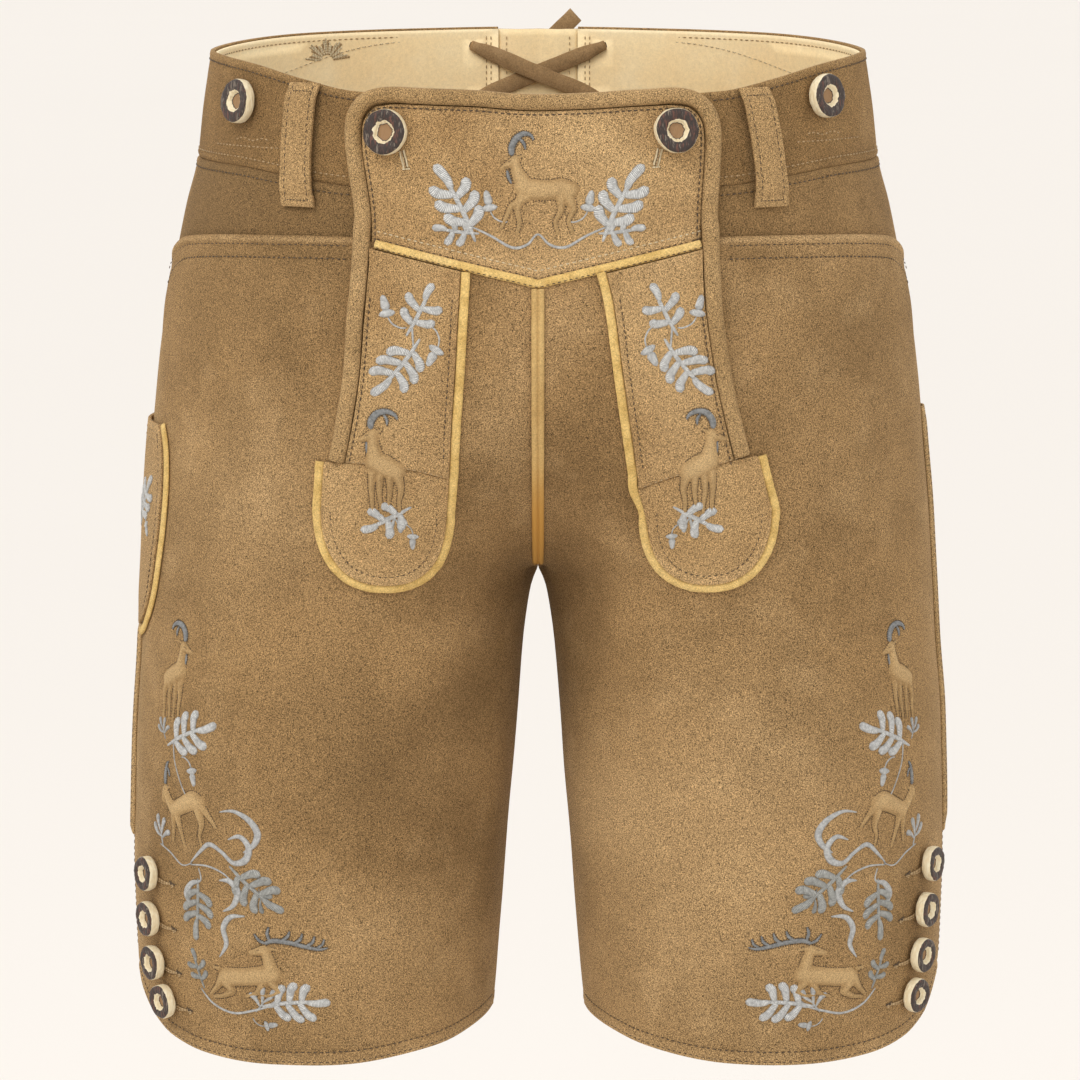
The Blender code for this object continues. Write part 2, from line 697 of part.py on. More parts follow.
def button(name, size, foot, normal):
    """Antler slice turned from a profile, standing on a short neck.

    Args:
        name: node name.
        size: the button's dimensions.
        foot: where the neck ends, in millimetres.
        normal: direction the button faces.

    Returns:
        The object.
    """
    r, stand, top = size["radius"], size["stand"], size["stand"] + size["height"]
    profile = ((0, 0), (size["neck"], 0), (size["neck"], stand), (r - 1.2, stand), (r, stand + 1.2),
               (r - 0.3, top - 0.9), (r - 1.2, top), (size["well"], top - 0.3),
               (size["well"] - 0.5, top - size["well_depth"]), (0, top - size["well_depth"]))
    mesh = bpy.data.meshes.new(name)
    mesh.from_pydata([(x * MM, 0.0, z * MM) for x, z in profile],
                     [(k, k + 1) for k in range(len(profile) - 1)], [])
    thing = bpy.data.objects.new(name, mesh)
    bpy.data.collections[COLLECTION].objects.link(thing)
    turn = thing.modifiers.new("turn", "SCREW")
    turn.angle = 2.0 * math.pi
    turn.steps = turn.render_steps = BUTTON_SIDES
    turn.use_merge_vertices = True
    turn.merge_threshold = 0.00001
    turn.use_normal_calculate = True
    thing.location = foot * MM
    thing.rotation_mode = "QUATERNION"
    thing.rotation_quaternion = normal.to_track_quat("Z", "Y")
    mesh.materials.append(material(name, ANTLER))
    return thing


def buttons():
    """Two buttons on the waistband, two on the flap and four on each leg."""
    for word, side in SIDES.items():
        for kind, spots, offset in (("waist", WAIST_BUTTONS, -SEAM), ("flap", FLAP_BUTTONS, LIFT + SEAM)):
            x, z = spots[word]
            foot = on_body(x, z, offset)
            button(f"{kind}_button_{word}", BUTTON, foot, (on_body(x, z, 20.0) - foot).normalized())
        for number, (reach, z) in enumerate(LEG_BUTTONS[word], 1):
            foot = on_side(side, -reach, z, 2 * SEAM)
            facing = (on_side(side, -reach, z, 20.0) - foot).normalized()
            button(f"leg_button_{word}_{number}", LEG_BUTTON, foot, facing)


def knife_pocket():
    """Long pocket sewn over the wearer's right side seam, with piping on its front edge."""
    levels = (-257, -253, -245, -234, -222, -210, -198, -186, -174, -164, -155)

    def place(u, v, face):
        z = levels[round(v * 10)]
        fore, aft = track(KNIFE, "level", "fore", z), track(KNIFE, "level", "aft", z)
        return on_side(SIDES["right"], lerp(-fore, aft, u), z, CLEAR + WALL * (1 - face))

    shell("knife_pocket", 8, 10, place, SUEDE)
    path = [(-track(KNIFE, "level", "fore", z) - 2.8, z) for z in levels[1:]]
    path = [(-8.0, -261.6), (-16.5, -260.0), (-24.0, -256.0)] + path[1:]
    band_on("knife_piping", path, BAND_SECTION, lambda y, z: CLEAR, PIPING,
            lambda y, z, offset: on_side(SIDES["right"], y, z, offset))


def side_strap(word):
    """Narrow strap that covers the side seam above the leg's buttons."""
    top, bottom = SIDE_STRAPS[word]
    rows = 14 if word == "left" else 8

    def place(u, v, face):
        half = SIDE_STRAP_HALF * (0.75 + 0.25 * ease(v * 6.0))
        return on_side(SIDES[word], lerp(-half, half, u), lerp(bottom, top, v), CLEAR + WALL * (1 - face))

    return shell(f"side_strap_{word}", 4, rows, place, EDGE_SUEDE)


def lace():
    """One flat lace: over the upper eyelets, crossed inside, out below and tied off."""
    over, inside, deep = 1.5, -5.6, -8.2
    up, low, e = EYELET_LEVELS[1], EYELET_LEVELS[0], EYELET_ACROSS
    slope = Vector((2 * e, low - up)).normalized()
    half = [
        # across, level, offset, width direction, half width
        (0.0, up, over, (0, 1), LACE_HALF),
        (-12.0, up, over, (0, 1), LACE_HALF),
        (-22.0, up, over, (0, 1), 3.8),
        (-29.0, up, over + 0.3, (0.05, 1), 3.0),
        (-32.2, up, over + 0.1, (0.1, 1), LACE_PINCH),
        (-33.4, up, over - 1.2, (0.2, 1), LACE_PINCH),
        (-33.5, up, -1.4, (0.28, 1), LACE_PINCH),
        (-33.5, up, -3.2, (0.35, 1), LACE_PINCH),
        (-33.2, up - 0.1, -4.7, (0.4, 1), LACE_PINCH),
        (-31.4, up - 0.8, inside, (0.4, 1), 2.8),
        (-27.0, up - 2.6, inside - 0.1, (0.4, 1), 3.6),
        (-20.0, up - 5.4, inside, (0.4, 1), LACE_HALF),
    ]
    crossing = [(-11.0, 0.34), (0.0, 0.5), (11.0, 0.66), (20.0, 0.8), (27.0, 0.9)]
    tail = [(31.4, low + 0.8, -5.6, (0.4, 1), 2.8), (33.2, low + 0.1, -4.7, (0.4, 1), LACE_PINCH),
            (33.5, low, -3.2, (0.35, 1), LACE_PINCH), (33.5, low, -1.4, (0.5, 1), LACE_PINCH)]

    def run(front):
        points = [list(item) for item in half]
        for x, share in crossing:
            level = lerp(up - 5.4, low + 2.6, (x + 20.0) / 47.0)
            near = deep if front else inside
            offset = lerp(inside, near, ease((22.0 - abs(x)) / 14.0))
            points.append([x, level, offset, (-slope.y, slope.x), LACE_HALF if abs(x) < 24 else 3.6])
        return points + [list(item) for item in tail]

    first = run(True)
    first += [[33.2, low, 0.6, (0.5, 1), LACE_PINCH], [31.2, low - 0.8, over + 0.1, (-0.4, 1), 2.9],
              [25.0, low - 3.6, over + 0.2, (-0.5, 1), 3.7], [17.0, low - 8.6, over, (-0.75, 1), 4.0],
              [11.0, low - 14.5, over, (-1, 0.7), 4.1], [8.0, low - 23.0, over, (-1, 0.2), 4.1],
              [7.0, low - 33.0, over + 0.6, (-1, 0.1), 4.1], [6.8, low - 42.0, over + 1.4, (-1, 0.1), 3.9]]
    second = [[-x, z, offset, (-w[0], w[1]), wide] for x, z, offset, w, wide in run(False)]
    second += [[-33.2, low, 0.6, (-0.5, 1), LACE_PINCH], [-31.0, low + 1.4, over + 0.2, (-0.6, 0.8), 2.9],
               [-25.0, low + 6.0, over + 0.6, (-0.6, 0.8), 3.7],
               [-17.0, low + 12.0, over + 1.4, (-0.6, 0.8), LACE_HALF],
               [-9.0, low + 18.0, over + 2.3, (-0.6, 0.8), LACE_HALF],
               [-1.0, low + 24.0, over + 2.6, (-0.6, 0.8), LACE_HALF],
               [7.0, low + 30.5, over + 2.6, (-0.6, 0.8), 4.3],
               [14.0, low + 37.0, over + 2.4, (-0.6, 0.8), 4.4],
               [19.2, low + 42.4, over + 2.0, (-0.6, 0.8), 4.4]]
    stations = first[::-1] + second[1:]
    total = len(first) + len(second) - 1
    spots = [on_body(x, z, offset, True) for x, z, offset, _, _ in stations]
    widths = []
    for index, (x, z, offset, w, wide) in enumerate(stations):
        here = on_body(x, z, offset, True)
        aside = on_body(x + w[0] * 0.5, z + w[1] * 0.5, offset, True) - here
        aside.normalize()
        if index and aside.dot(widths[-1]) < 0.0:
            aside = -aside
        widths.append(aside)

    def place(u, v, face):
        index = round(v * (total - 1))
        ahead = spots[min(index + 1, total - 1)] - spots[max(index - 1, 0)]
        aside = widths[index]
        normal = aside.cross(ahead).normalized()
        wide = stations[index][4]
        return spots[index] + aside * lerp(-wide, wide, u) + normal * LACE_WALL * (0.5 - face)

    return shell("lace", 2, total - 1, place, LACE)


COLLECTION = "lederhosen"


def build():
    """Clear the scene and model every piece."""
    for thing in list(bpy.data.objects):
        bpy.data.objects.remove(thing, do_unlink=True)
    collection = bpy.data.collections.new(COLLECTION)
    bpy.context.scene.collection.children.link(collection)
    for word in SIDES:
        front_panel(word)
        back_panel(word)
        hip_yoke(word)
        waistband(word)
        lining(word)
        strip(word)
        tab(word)
        strip_piping(word)
        side_strap(word)
        belt_loop(f"belt_loop_front_{word}", FRONT_LOOPS[word], False)
        belt_loop(f"belt_loop_back_{word}", BACK_LOOPS[word], True)
    gusset()
    flap_yoke()
    flap_trim()
    buttons()
    knife_pocket()
    lace()


build()
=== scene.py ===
"""Short suede lederhosen with a drop flap, dressed for the render.

The classes work in millimetres, as on a pattern, and a point becomes metres where a mesh is made.
The front faces -Y and the wearer's right side is at -X. Every piece of leather, trim and thread
lies on one body form at its own distance, so what is sewn on follows the folds under it.
"""
import json
import logging
import math
from bisect import bisect_right
from dataclasses import dataclass, field
from enum import Enum
from typing import Callable, Sequence

import bmesh
import bpy
from mathutils import Matrix, Vector, noise

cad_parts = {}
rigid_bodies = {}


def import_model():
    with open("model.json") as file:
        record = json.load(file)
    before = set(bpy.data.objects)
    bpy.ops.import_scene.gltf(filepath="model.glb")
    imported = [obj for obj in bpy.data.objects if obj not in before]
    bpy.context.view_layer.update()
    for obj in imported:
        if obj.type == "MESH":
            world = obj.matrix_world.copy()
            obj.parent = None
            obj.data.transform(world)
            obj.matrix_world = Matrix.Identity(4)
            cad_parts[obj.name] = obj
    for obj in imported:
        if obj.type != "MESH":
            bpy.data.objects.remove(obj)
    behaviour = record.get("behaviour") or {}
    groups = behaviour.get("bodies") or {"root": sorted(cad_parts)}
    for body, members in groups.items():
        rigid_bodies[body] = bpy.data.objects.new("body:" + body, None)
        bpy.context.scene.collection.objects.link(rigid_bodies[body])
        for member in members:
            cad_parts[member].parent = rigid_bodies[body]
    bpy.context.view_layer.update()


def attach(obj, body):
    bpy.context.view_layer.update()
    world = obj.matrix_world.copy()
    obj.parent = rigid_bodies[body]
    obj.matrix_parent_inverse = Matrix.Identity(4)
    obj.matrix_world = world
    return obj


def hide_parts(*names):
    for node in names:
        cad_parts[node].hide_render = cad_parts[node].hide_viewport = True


LOG = logging.getLogger("lederhosen")

MM = 0.001
BODY_NAME = "root"
# Walls, gaps and eyelets in millimetres
WALL = 1.7
BAND_WALL = 2.1
LINING_WALL = 1.1
SEAM = 0.06
CLEAR = 0.4
CAD_WALL = 2.2
LIFT = CAD_WALL + CLEAR
EYELET_ACROSS = 33.5
EYELET_HALF = 3.6
EYELET_LEVELS = (-3.0, 24.0)
Put = Callable[[float, float, float], Vector]
Flat = tuple[float, float]


class Side(Enum):
    """The wearer's side that a piece is on."""

    RIGHT = "right"
    LEFT = "left"

    @property
    def sign(self) -> float:
        """-1 on the wearer's right, +1 on the left."""
        return -1.0 if self is Side.RIGHT else 1.0


class Thread(Enum):
    """Thread colours of the embroidery and the seams."""

    SILVER = "silver"
    ASH = "ash"
    SLATE = "slate"
    TAN = "tan"
    BROWN = "brown"
    CREAM = "cream"


def ease(t: float) -> float:
    """Smooth step from 0 to 1."""
    t = min(max(t, 0.0), 1.0)
    return t * t * (3.0 - 2.0 * t)


def lerp(a: float, b: float, t: float) -> float:
    """Straight blend of two numbers."""
    return a + (b - a) * t


def bump(distance: float, centre: float, reach: float) -> float:
    """Round bump of height 1 at a centre."""
    return math.exp(-((distance - centre) / reach) ** 2)


def blend_four(four: Sequence[Sequence[float]], t: float) -> list[float]:
    """Run a smooth curve between the middle two of four rows of numbers.

    Args:
        four: the rows before, at both ends of and after the stretch.
        t: share of the stretch.

    Returns:
        The row at that share.
    """
    return [0.5 * (2 * b + (c - a) * t + (2 * a - 5 * b + 4 * c - d) * t * t
                   + (3 * b - a - 3 * c + d) * t ** 3)
            for a, b, c, d in zip(*four)]


def heading(line: Sequence[Sequence[float]], index: int) -> Vector:
    """Direction of a line of points at one of them.

    Args:
        line: the points, the first two numbers of each being its place.
        index: the point's number.

    Returns:
        The unit direction.
    """
    before, after = line[max(index - 1, 0)], line[min(index + 1, len(line) - 1)]
    return Vector((after[0] - before[0], after[1] - before[1])).normalized()


def curve_through(points: Sequence[Sequence[float]], step: float) -> list[list[float]]:
    """Run a smooth curve through control points.

    Args:
        points: control points, the first two numbers of each being its place.
        step: distance between the points that come back.

    Returns:
        Points along the curve, with every number of the control points blended.
    """
    if len(points) < 3:
        count = max(2, round(math.dist(points[0][:2], points[-1][:2]) / step))
        return [[lerp(a, b, k / count) for a, b in zip(points[0], points[-1])] for k in range(count + 1)]
    padded = [points[0], *points, points[-1]]
    made = []
    for four in zip(padded, padded[1:], padded[2:], padded[3:]):
        count = max(1, round(math.dist(four[1][:2], four[2][:2]) / step))
        made += [blend_four(four, k / count) for k in range(count)]
    made.append(list(points[-1]))
    return made


class Track:
    """A table's column, read smoothly between its keys and without overshoot."""

    def __init__(self, keys: Sequence[float], values: Sequence[float]) -> None:
        """Keep the keys in rising order and work out the slope at each.

        Args:
            keys: the table's keys, rising or falling.
            values: a value for each key.
        """
        if keys[0] > keys[-1]:
            keys, values = keys[::-1], values[::-1]
        self.keys, self.values = list(keys), list(values)
        self.slopes = [self._slope(index) for index in range(len(keys))]

    def _slope(self, index: int) -> float:
        """Slope at one key, level where the values turn.

        Args:
            index: the key's number.

        Returns:
            The slope.
        """
        keys, values, last = self.keys, self.values, len(self.keys) - 1
        if index in (0, last):
            a = max(index - 1, 0)
            return (values[a + 1] - values[a]) / (keys[a + 1] - keys[a])
        before = (values[index] - values[index - 1]) / (keys[index] - keys[index - 1])
        after = (values[index + 1] - values[index]) / (keys[index + 1] - keys[index])
        return 2.0 * before * after / (before + after) if before * after > 0.0 else 0.0

    def __call__(self, at: float) -> float:
        """Value at a key, held to the table's ends.

        Args:
            at: where to read the table.

        Returns:
            The value there.
        """
        keys, values = self.keys, self.values
        at = min(max(at, keys[0]), keys[-1])
        i = min(bisect_right(keys, at) - 1, len(keys) - 2)
        step = keys[i + 1] - keys[i]
        t = (at - keys[i]) / step
        return ((1 + 2 * t) * (1 - t) ** 2 * values[i] + t * (1 - t) ** 2 * step * self.slopes[i]
                + t * t * (3 - 2 * t) * values[i + 1] + t * t * (t - 1) * step * self.slopes[i + 1])


@dataclass
class BodyForm:
    """The filled-out form that the leather is sewn round."""

    level: tuple = (-480, -452, -432, -401, -380, -350, -329, -298, -268, -247.5, -237.5, -228.5,
                    -197, -147, -97, -67, -47, -27, 0, 27, 40)
    half_width: tuple = (197.5, 199.6, 201.4, 202.8, 203.2, 202.8, 202.2, 201.0, 198.8, 197.6, 197.0,
                         196.4, 194.2, 189.6, 183.4, 177.8, 173.6, 168.4, 165.2, 161.4, 160.5)
    front_depth: tuple = (103, 104, 105, 107, 109, 112, 114.5, 118, 121, 123, 124, 125,
                          128, 130, 129, 127, 125, 123, 120.5, 119, 118.5)
    back_depth: tuple = (111, 112.5, 114, 116.5, 119, 123, 126.5, 132, 137, 140, 141.5, 143,
                         147, 148, 143, 137, 132, 127.5, 124.5, 122, 121)
    inner_gap: tuple = (25.5, 23.2, 21.2, 18.7, 17.2, 15.0, 13.2, 10.9, 8.2, 5.4, 3.4, 0,
                        0, 0, 0, 0, 0, 0, 0, 0, 0)
    crotch: float = -228.5
    hip: float = -150.0
    saddle_width: float = 42.0
    roundness: float = 2.2
    fullness: float = 0.83

    def __post_init__(self) -> None:
        """Make the smooth columns."""
        self.width = Track(self.level, self.half_width)
        self.front = Track(self.level, self.front_depth)
        self.back = Track(self.level, self.back_depth)
        self.gap = Track(self.level, self.inner_gap)

    def saddle(self, z: float) -> float:
        """How far the centre line stands out, squared; negative between the legs.

        Args:
            z: height.

        Returns:
            The square, in square millimetres.
        """
        if z <= self.crotch:
            return -self.gap(z) ** 2
        t = (z - self.crotch) / (self.hip - self.crotch)
        share = 1.0 if t > 1.6 else t
        if 0.4 <= t <= 1.6:
            u = (t - 0.4) / 1.2
            share = 0.4 + 1.2 * (u - u * u / 2.0)
        return self.saddle_width ** 2 * share

    def depth_squared(self, x: float, z: float, back: bool) -> float:
        """Square of the depth at a distance from the middle plane and a height.

        Args:
            x: distance from the middle plane.
            z: height.
            back: True behind the side seams.

        Returns:
            The square of the depth.
        """
        x, width = abs(x), self.width(z)
        depth = self.back(z) if back else self.front(z)
        spread = self.saddle_width ** 2
        trunk = depth ** 2 * (1.0 - (x / width) ** self.roundness)
        trunk = trunk * (x * x + self.saddle(z)) / (x * x + spread)
        leg = ease((self.crotch - z) / 100.0)
        if leg <= 0.0:
            return trunk
        gap = self.gap(z)
        full = self.fullness * depth / ((width - gap) / 2.0)
        return trunk * (1.0 - leg) + full ** 2 * (width - x) * (x - gap) * leg

    def outward(self, x: float, y: float, z: float, back: bool) -> Vector:
        """Unit normal of the form.

        Args:
            x: distance from the middle plane.
            y: depth.
            z: height.
            back: True behind the side seams.

        Returns:
            The unit normal.
        """
        side = 1.0 if x >= 0 else -1.0
        further, nearer = abs(x) + 0.05, abs(x) - 0.05
        across = (self.depth_squared(further, z, back) - self.depth_squared(nearer, z, back)) / 0.1
        along = (self.depth_squared(x, z + 0.8, back) - self.depth_squared(x, z - 0.8, back)) / 1.6
        return Vector((-across * side, 2.0 * y, -along)).normalized()

    def fold(self, x: float, y: float, z: float) -> float:
        """Soft drape of the leather: none at the waist, more down the legs, drag lines at the crotch.

        Args:
            x: distance from the middle plane.
            y: depth.
            z: height.

        Returns:
            How far the leather stands out.
        """
        loose = ease((-52.0 - z) / 90.0)
        if loose <= 0.0:
            return 0.0
        drape = noise.noise(Vector((x / 62.0, y / 62.0, z / 190.0 + 3.1)))
        crumple = noise.noise(Vector((x / 26.0 + 9.0, y / 26.0, z / 44.0)))
        reach = math.hypot(x, z - self.crotch)
        bearing = math.atan2(z - self.crotch, abs(x) + 1e-6)
        drag = bump(reach, 62.0, 34.0) * math.sin(bearing * 8.0) * ease((abs(x) - 4.0) / 22.0)
        hem = ease((-395.0 - z) / 60.0) * noise.noise(Vector((x / 34.0, y / 34.0, 5.0)))
        return loose * (1.5 * drape + 0.5 * crumple + 0.75 * drag + 1.1 * hem)

    def on_body(self, x: float, z: float, offset: float, back: bool = False) -> Vector:
        """Point at a distance outside the form, in front or at the back."""
        y = math.sqrt(max(self.depth_squared(x, z, back), SEAM ** 2)) * (1.0 if back else -1.0)
        return Vector((x, y, z)) + self.outward(x, y, z, back) * (offset + self.fold(x, y, z))

    def on_side(self, sign: float, y: float, z: float, offset: float) -> Vector:
        """Point at a distance outside the form near a side seam, at a depth of y.

        Args:
            sign: -1 on the wearer's right, +1 on the left.
            y: depth.
            z: height.
            offset: distance outside the form.

        Returns:
            The point.
        """
        back, high = y > 0, self.width(z)
        low = 0.55 * high
        for _ in range(22):
            middle = (low + high) / 2.0
            if self.depth_squared(middle, z, back) > y * y:
                low = middle
            else:
                high = middle
        x = sign * high
        return Vector((x, y, z)) + self.outward(x, y, z, back) * (offset + self.fold(x, y, z))

    def round_body(self, sign: float, angle: float, z: float, offset: float) -> Vector:
        """Point outside the trunk at an angle: 90 at centre front, 0 at the side, -90 at centre back.

        Args:
            sign: -1 on the wearer's right, +1 on the left.
            angle: angle round the trunk, in degrees.
            z: height.
            offset: distance outside the form.

        Returns:
            The point.
        """
        if abs(angle) < 20.0:
            depth = self.front(z) if angle > 0 else self.back(z)
            return self.on_side(sign, -depth * math.sin(math.radians(angle)), z, offset)
        x = self.width(z) * max(math.cos(math.radians(angle)), 0.0) ** (2.0 / self.roundness)
        return self.on_body(sign * max(x, SEAM), z, offset, angle < 0)

    def angle_at(self, x: float, z: float) -> float:
        """Angle round the trunk of a distance from the middle plane."""
        return math.degrees(math.acos(min(abs(x) / self.width(z), 1.0) ** (self.roundness / 2.0)))

    def across_at(self, share: float, z: float) -> float:
        """Distance from the middle plane at a share of a panel's width.

        Args:
            share: 0 at the middle seam, 1 at the side seam.
            z: height.

        Returns:
            The distance.
        """
        gap = self.gap(z)
        leg = ease((self.hip - z) / (self.hip - self.crotch))
        wide = lerp(math.sin(math.pi * share / 2.0), (1.0 - math.cos(math.pi * share)) / 2.0, leg)
        return gap + (self.width(z) - gap) * wide

    def panel_lift(self, z: float, angle: float = 90.0) -> float:
        """Distance of a front panel's outer face from the form."""
        return LIFT * ease((z + 128.0) / 34.0) * ease(angle / 11.0)


FORM = BodyForm()
RIM = Track((-90, -45, 0, 10, 20, 33, 48, 60, 75, 90),
            (33.8, 31.9, 27.3, 27.0, 26.0, 23.6, 17.4, 12.3, 11.0, 11.0))
WAIST_SEAM = Track((-90, -45, 0, 30, 45, 53, 61, 90), (-22, -23, -24.5, -25.3, -28.2, -30.7, -32.4, -34))
POCKET_EDGE = Track((0, 4, 8, 12, 17, 24, 40, 60, 90),
                    (-78.5, -73.5, -69.0, -65.6, -62.4, -60.4, -57.8, -56.4, -56.4))
HEM_SHARE = (0, 0.05, 0.15, 0.4, 0.6, 0.8, 0.9, 0.96, 1)
FRONT_HEM = Track(HEM_SHARE, (-453, -456, -460, -465, -465.5, -463, -458.5, -451, -437))
BACK_HEM = Track(HEM_SHARE, (-453, -455, -458, -461, -461, -459, -456, -450, -440))
FLAP_HALF = 78.0
# Each spot: across, height, reach and tone. The tones are partly the leather's own patchy colour and partly
# painted shade, such as the dark spot at the crotch
TONE_AND_SHADE_SPOTS = (
    (-89, -325, 46, -0.8), (-33, -345, 32, -0.05), (19, -150, 26, -0.55), (137, -98, 44, 0.05),
    (-160, -96, 40, -0.3), (-113, -262, 38, -0.3), (160, -240, 40, -0.3), (-150, -40, 60, -0.35),
    (120, -44, 50, -0.2), (-132, -186, 46, 0.45), (85, -335, 52, 0.5), (66, -412, 46, 0.5),
    (28, -345, 30, 0.8), (-19, -146, 22, 0.4), (-75, -398, 40, 0.3), (150, -180, 30, 0.1),
    (40, -24, 40, 0.45), (140, -56, 46, 0.25), (-120, -60, 40, 0.1), (-66, -56, 34, -0.35),
    (75, -120, 34, 0.3), (0, -232, 30, -0.25),
)


def tone_and_shade(point: Vector) -> float:
    """Paler (above 0) or darker (below 0) patches of the leather in front: partly its own patchy tone, partly
    painted shade.

    Args:
        point: a point of the leather, in millimetres.

    Returns:
        The tone to add to the per-point tone attribute, painted shade included.
    """
    if point.y > 0.0:
        return 0.0
    return sum(tone * bump(math.hypot(point.x - x, point.z - z), 0.0, reach) for x, z, reach, tone in TONE_AND_SHADE_SPOTS)


def v_seam(x: float) -> float:
    """Height of the flap's V seam."""
    return -77.2 + 0.233 * abs(x)


def on_flap(x: float, z: float, offset: float) -> Vector:
    """Point above the flap's upper part."""
    return FORM.on_body(x, z, LIFT + offset)


def on_strip(x: float, z: float, offset: float) -> Vector:
    """Point above a flap strip or its round end."""
    return FORM.on_body(x, z, FORM.panel_lift(z) + CLEAR + CAD_WALL + offset)


def on_front(x: float, z: float, offset: float) -> Vector:
    """Point above a front panel."""
    return FORM.on_body(x, z, FORM.panel_lift(z) + offset)


def on_knife_side(y: float, z: float, offset: float) -> Vector:
    """Point near the wearer's right side seam, by depth and height."""
    return FORM.on_side(-1.0, y, z, offset)


class LegWrap:
    """Places on a leg's front by the distance from its side seam, as on the flat cut."""

    def __init__(self, side: Side) -> None:
        """Start with no sections measured."""
        self.side = side
        self.sections: dict[int, tuple[list[float], list[Flat]]] = {}

    def section(self, level: int) -> tuple[list[float], list[Flat]]:
        """Distances from the side seam and the points they reach, at a height.

        Args:
            level: height, in whole millimetres.

        Returns:
            The distances and the points.
        """
        if level not in self.sections:
            gap, width = FORM.gap(level), FORM.width(level)
            points, run, total = [], [], 0.0
            for k in range(121):
                x = gap + (width - gap) * (1.0 + math.cos(math.pi * k / 120.0)) / 2.0
                point = (x, math.sqrt(max(FORM.depth_squared(x, level, False), 0.0)))
                total += math.dist(point, points[-1]) if points else 0.0
                points.append(point)
                run.append(total)
            self.sections[level] = (run, points)
        return self.sections[level]

    def flat_to_body(self, reach: float, level: int) -> Flat:
        """Distance from the middle plane and depth at a distance from the side seam.

        Args:
            reach: distance from the side seam.
            level: height, in whole millimetres.

        Returns:
            The distance from the middle plane and the depth.
        """
        run, points = self.section(level)
        i = min(max(bisect_right(run, reach) - 1, 0), len(run) - 2)
        t = (reach - run[i]) / (run[i + 1] - run[i])
        return lerp(points[i][0], points[i + 1][0], t), lerp(points[i][1], points[i + 1][1], t)

    def __call__(self, reach: float, z: float, offset: float) -> Vector:
        """Point above the leg's front, by distance from the side seam and height.

        Args:
            reach: distance from the side seam.
            z: height.
            offset: distance outside the form.

        Returns:
            The point.
        """
        low = 2 * math.floor(z / 2.0)
        t = (z - low) / 2.0
        a, b = self.flat_to_body(reach, low), self.flat_to_body(reach, low + 2)
        x, y = lerp(a[0], b[0], t), lerp(a[1], b[1], t)
        if y < 0.45 * FORM.front(z):
            return FORM.on_side(self.side.sign, -y, z, offset)
        return FORM.on_body(self.side.sign * x, z, offset)


# Making meshes

def pour(part: bmesh.types.BMesh, whole: bmesh.types.BMesh) -> None:
    """Move a finished part into a bigger mesh.

    Args:
        part: the mesh to move, which is used up.
        whole: the mesh that takes it.
    """
    carrier = bpy.data.meshes.new("carrier")
    part.to_mesh(carrier)
    part.free()
    whole.from_mesh(carrier)
    bpy.data.meshes.remove(carrier)


def lay_tube(whole: bmesh.types.BMesh, stations: Sequence[Sequence[Vector]], span: float = 1.0) -> None:
    """Lay a closed tube through rings of points, with its ends drawn together.

    Args:
        whole: the mesh that takes the tube.
        stations: rings of points in millimetres, each as long as the first.
        span: millimetres between rings, for the thread's UV map.
    """
    around, last = len(stations[0]), len(stations) + 1
    middles = [sum(ring, Vector()) / around for ring in (stations[0], stations[-1])]
    bm = bmesh.new()
    uv = bm.loops.layers.uv.new("UVMap")
    bmesh.ops.create_grid(bm, x_segments=around, y_segments=last, size=0.5)
    for vert in bm.verts:
        column, row = round((vert.co.x + 0.5) * around), round((vert.co.y + 0.5) * last)
        for loop in vert.link_loops:
            loop[uv].uv = (row * span * MM, column / around)
        vert.co = (middles[row > 0] if row in (0, last) else stations[row - 1][column % around]) * MM
    bmesh.ops.remove_doubles(bm, verts=bm.verts, dist=1e-6)
    bmesh.ops.recalc_face_normals(bm, faces=bm.faces)
    pour(bm, whole)


@dataclass
class Piece:
    """A finished object of the scene and how it is tied to the frame."""

    name: str
    finish: bpy.types.Material
    node: str = ""
    slot: str = ""
    soften: float = 0.0

    def build(self, bm: bmesh.types.BMesh, outward: bool = True) -> bpy.types.Object:
        """Turn a mesh in the making into an object that rides on the body.

        Args:
            bm: the mesh, which is used up.
            outward: True to make the faces point outwards first.

        Returns:
            The object.
        """
        if outward:
            bmesh.ops.recalc_face_normals(bm, faces=bm.faces)
            if bm.calc_volume(signed=True) < 0.0:
                bmesh.ops.reverse_faces(bm, faces=bm.faces)
        for face in bm.faces:
            face.smooth = True
        mesh = bpy.data.meshes.new(self.name)
        bm.to_mesh(mesh)
        bm.free()
        mesh.materials.append(self.finish)
        thing = bpy.data.objects.new(self.name, mesh)
        bpy.context.scene.collection.objects.link(thing)
        if self.soften:
            edge = thing.modifiers.new("soft_edge", "BEVEL")
            edge.width, edge.segments, edge.limit_method = self.soften * MM, 2, "ANGLE"
            edge.angle_limit = math.radians(50.0)
        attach(thing, BODY_NAME)
        if self.node:
            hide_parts(self.node)
        LOG.info("%s: %d faces", self.name, len(mesh.polygons))
        return thing


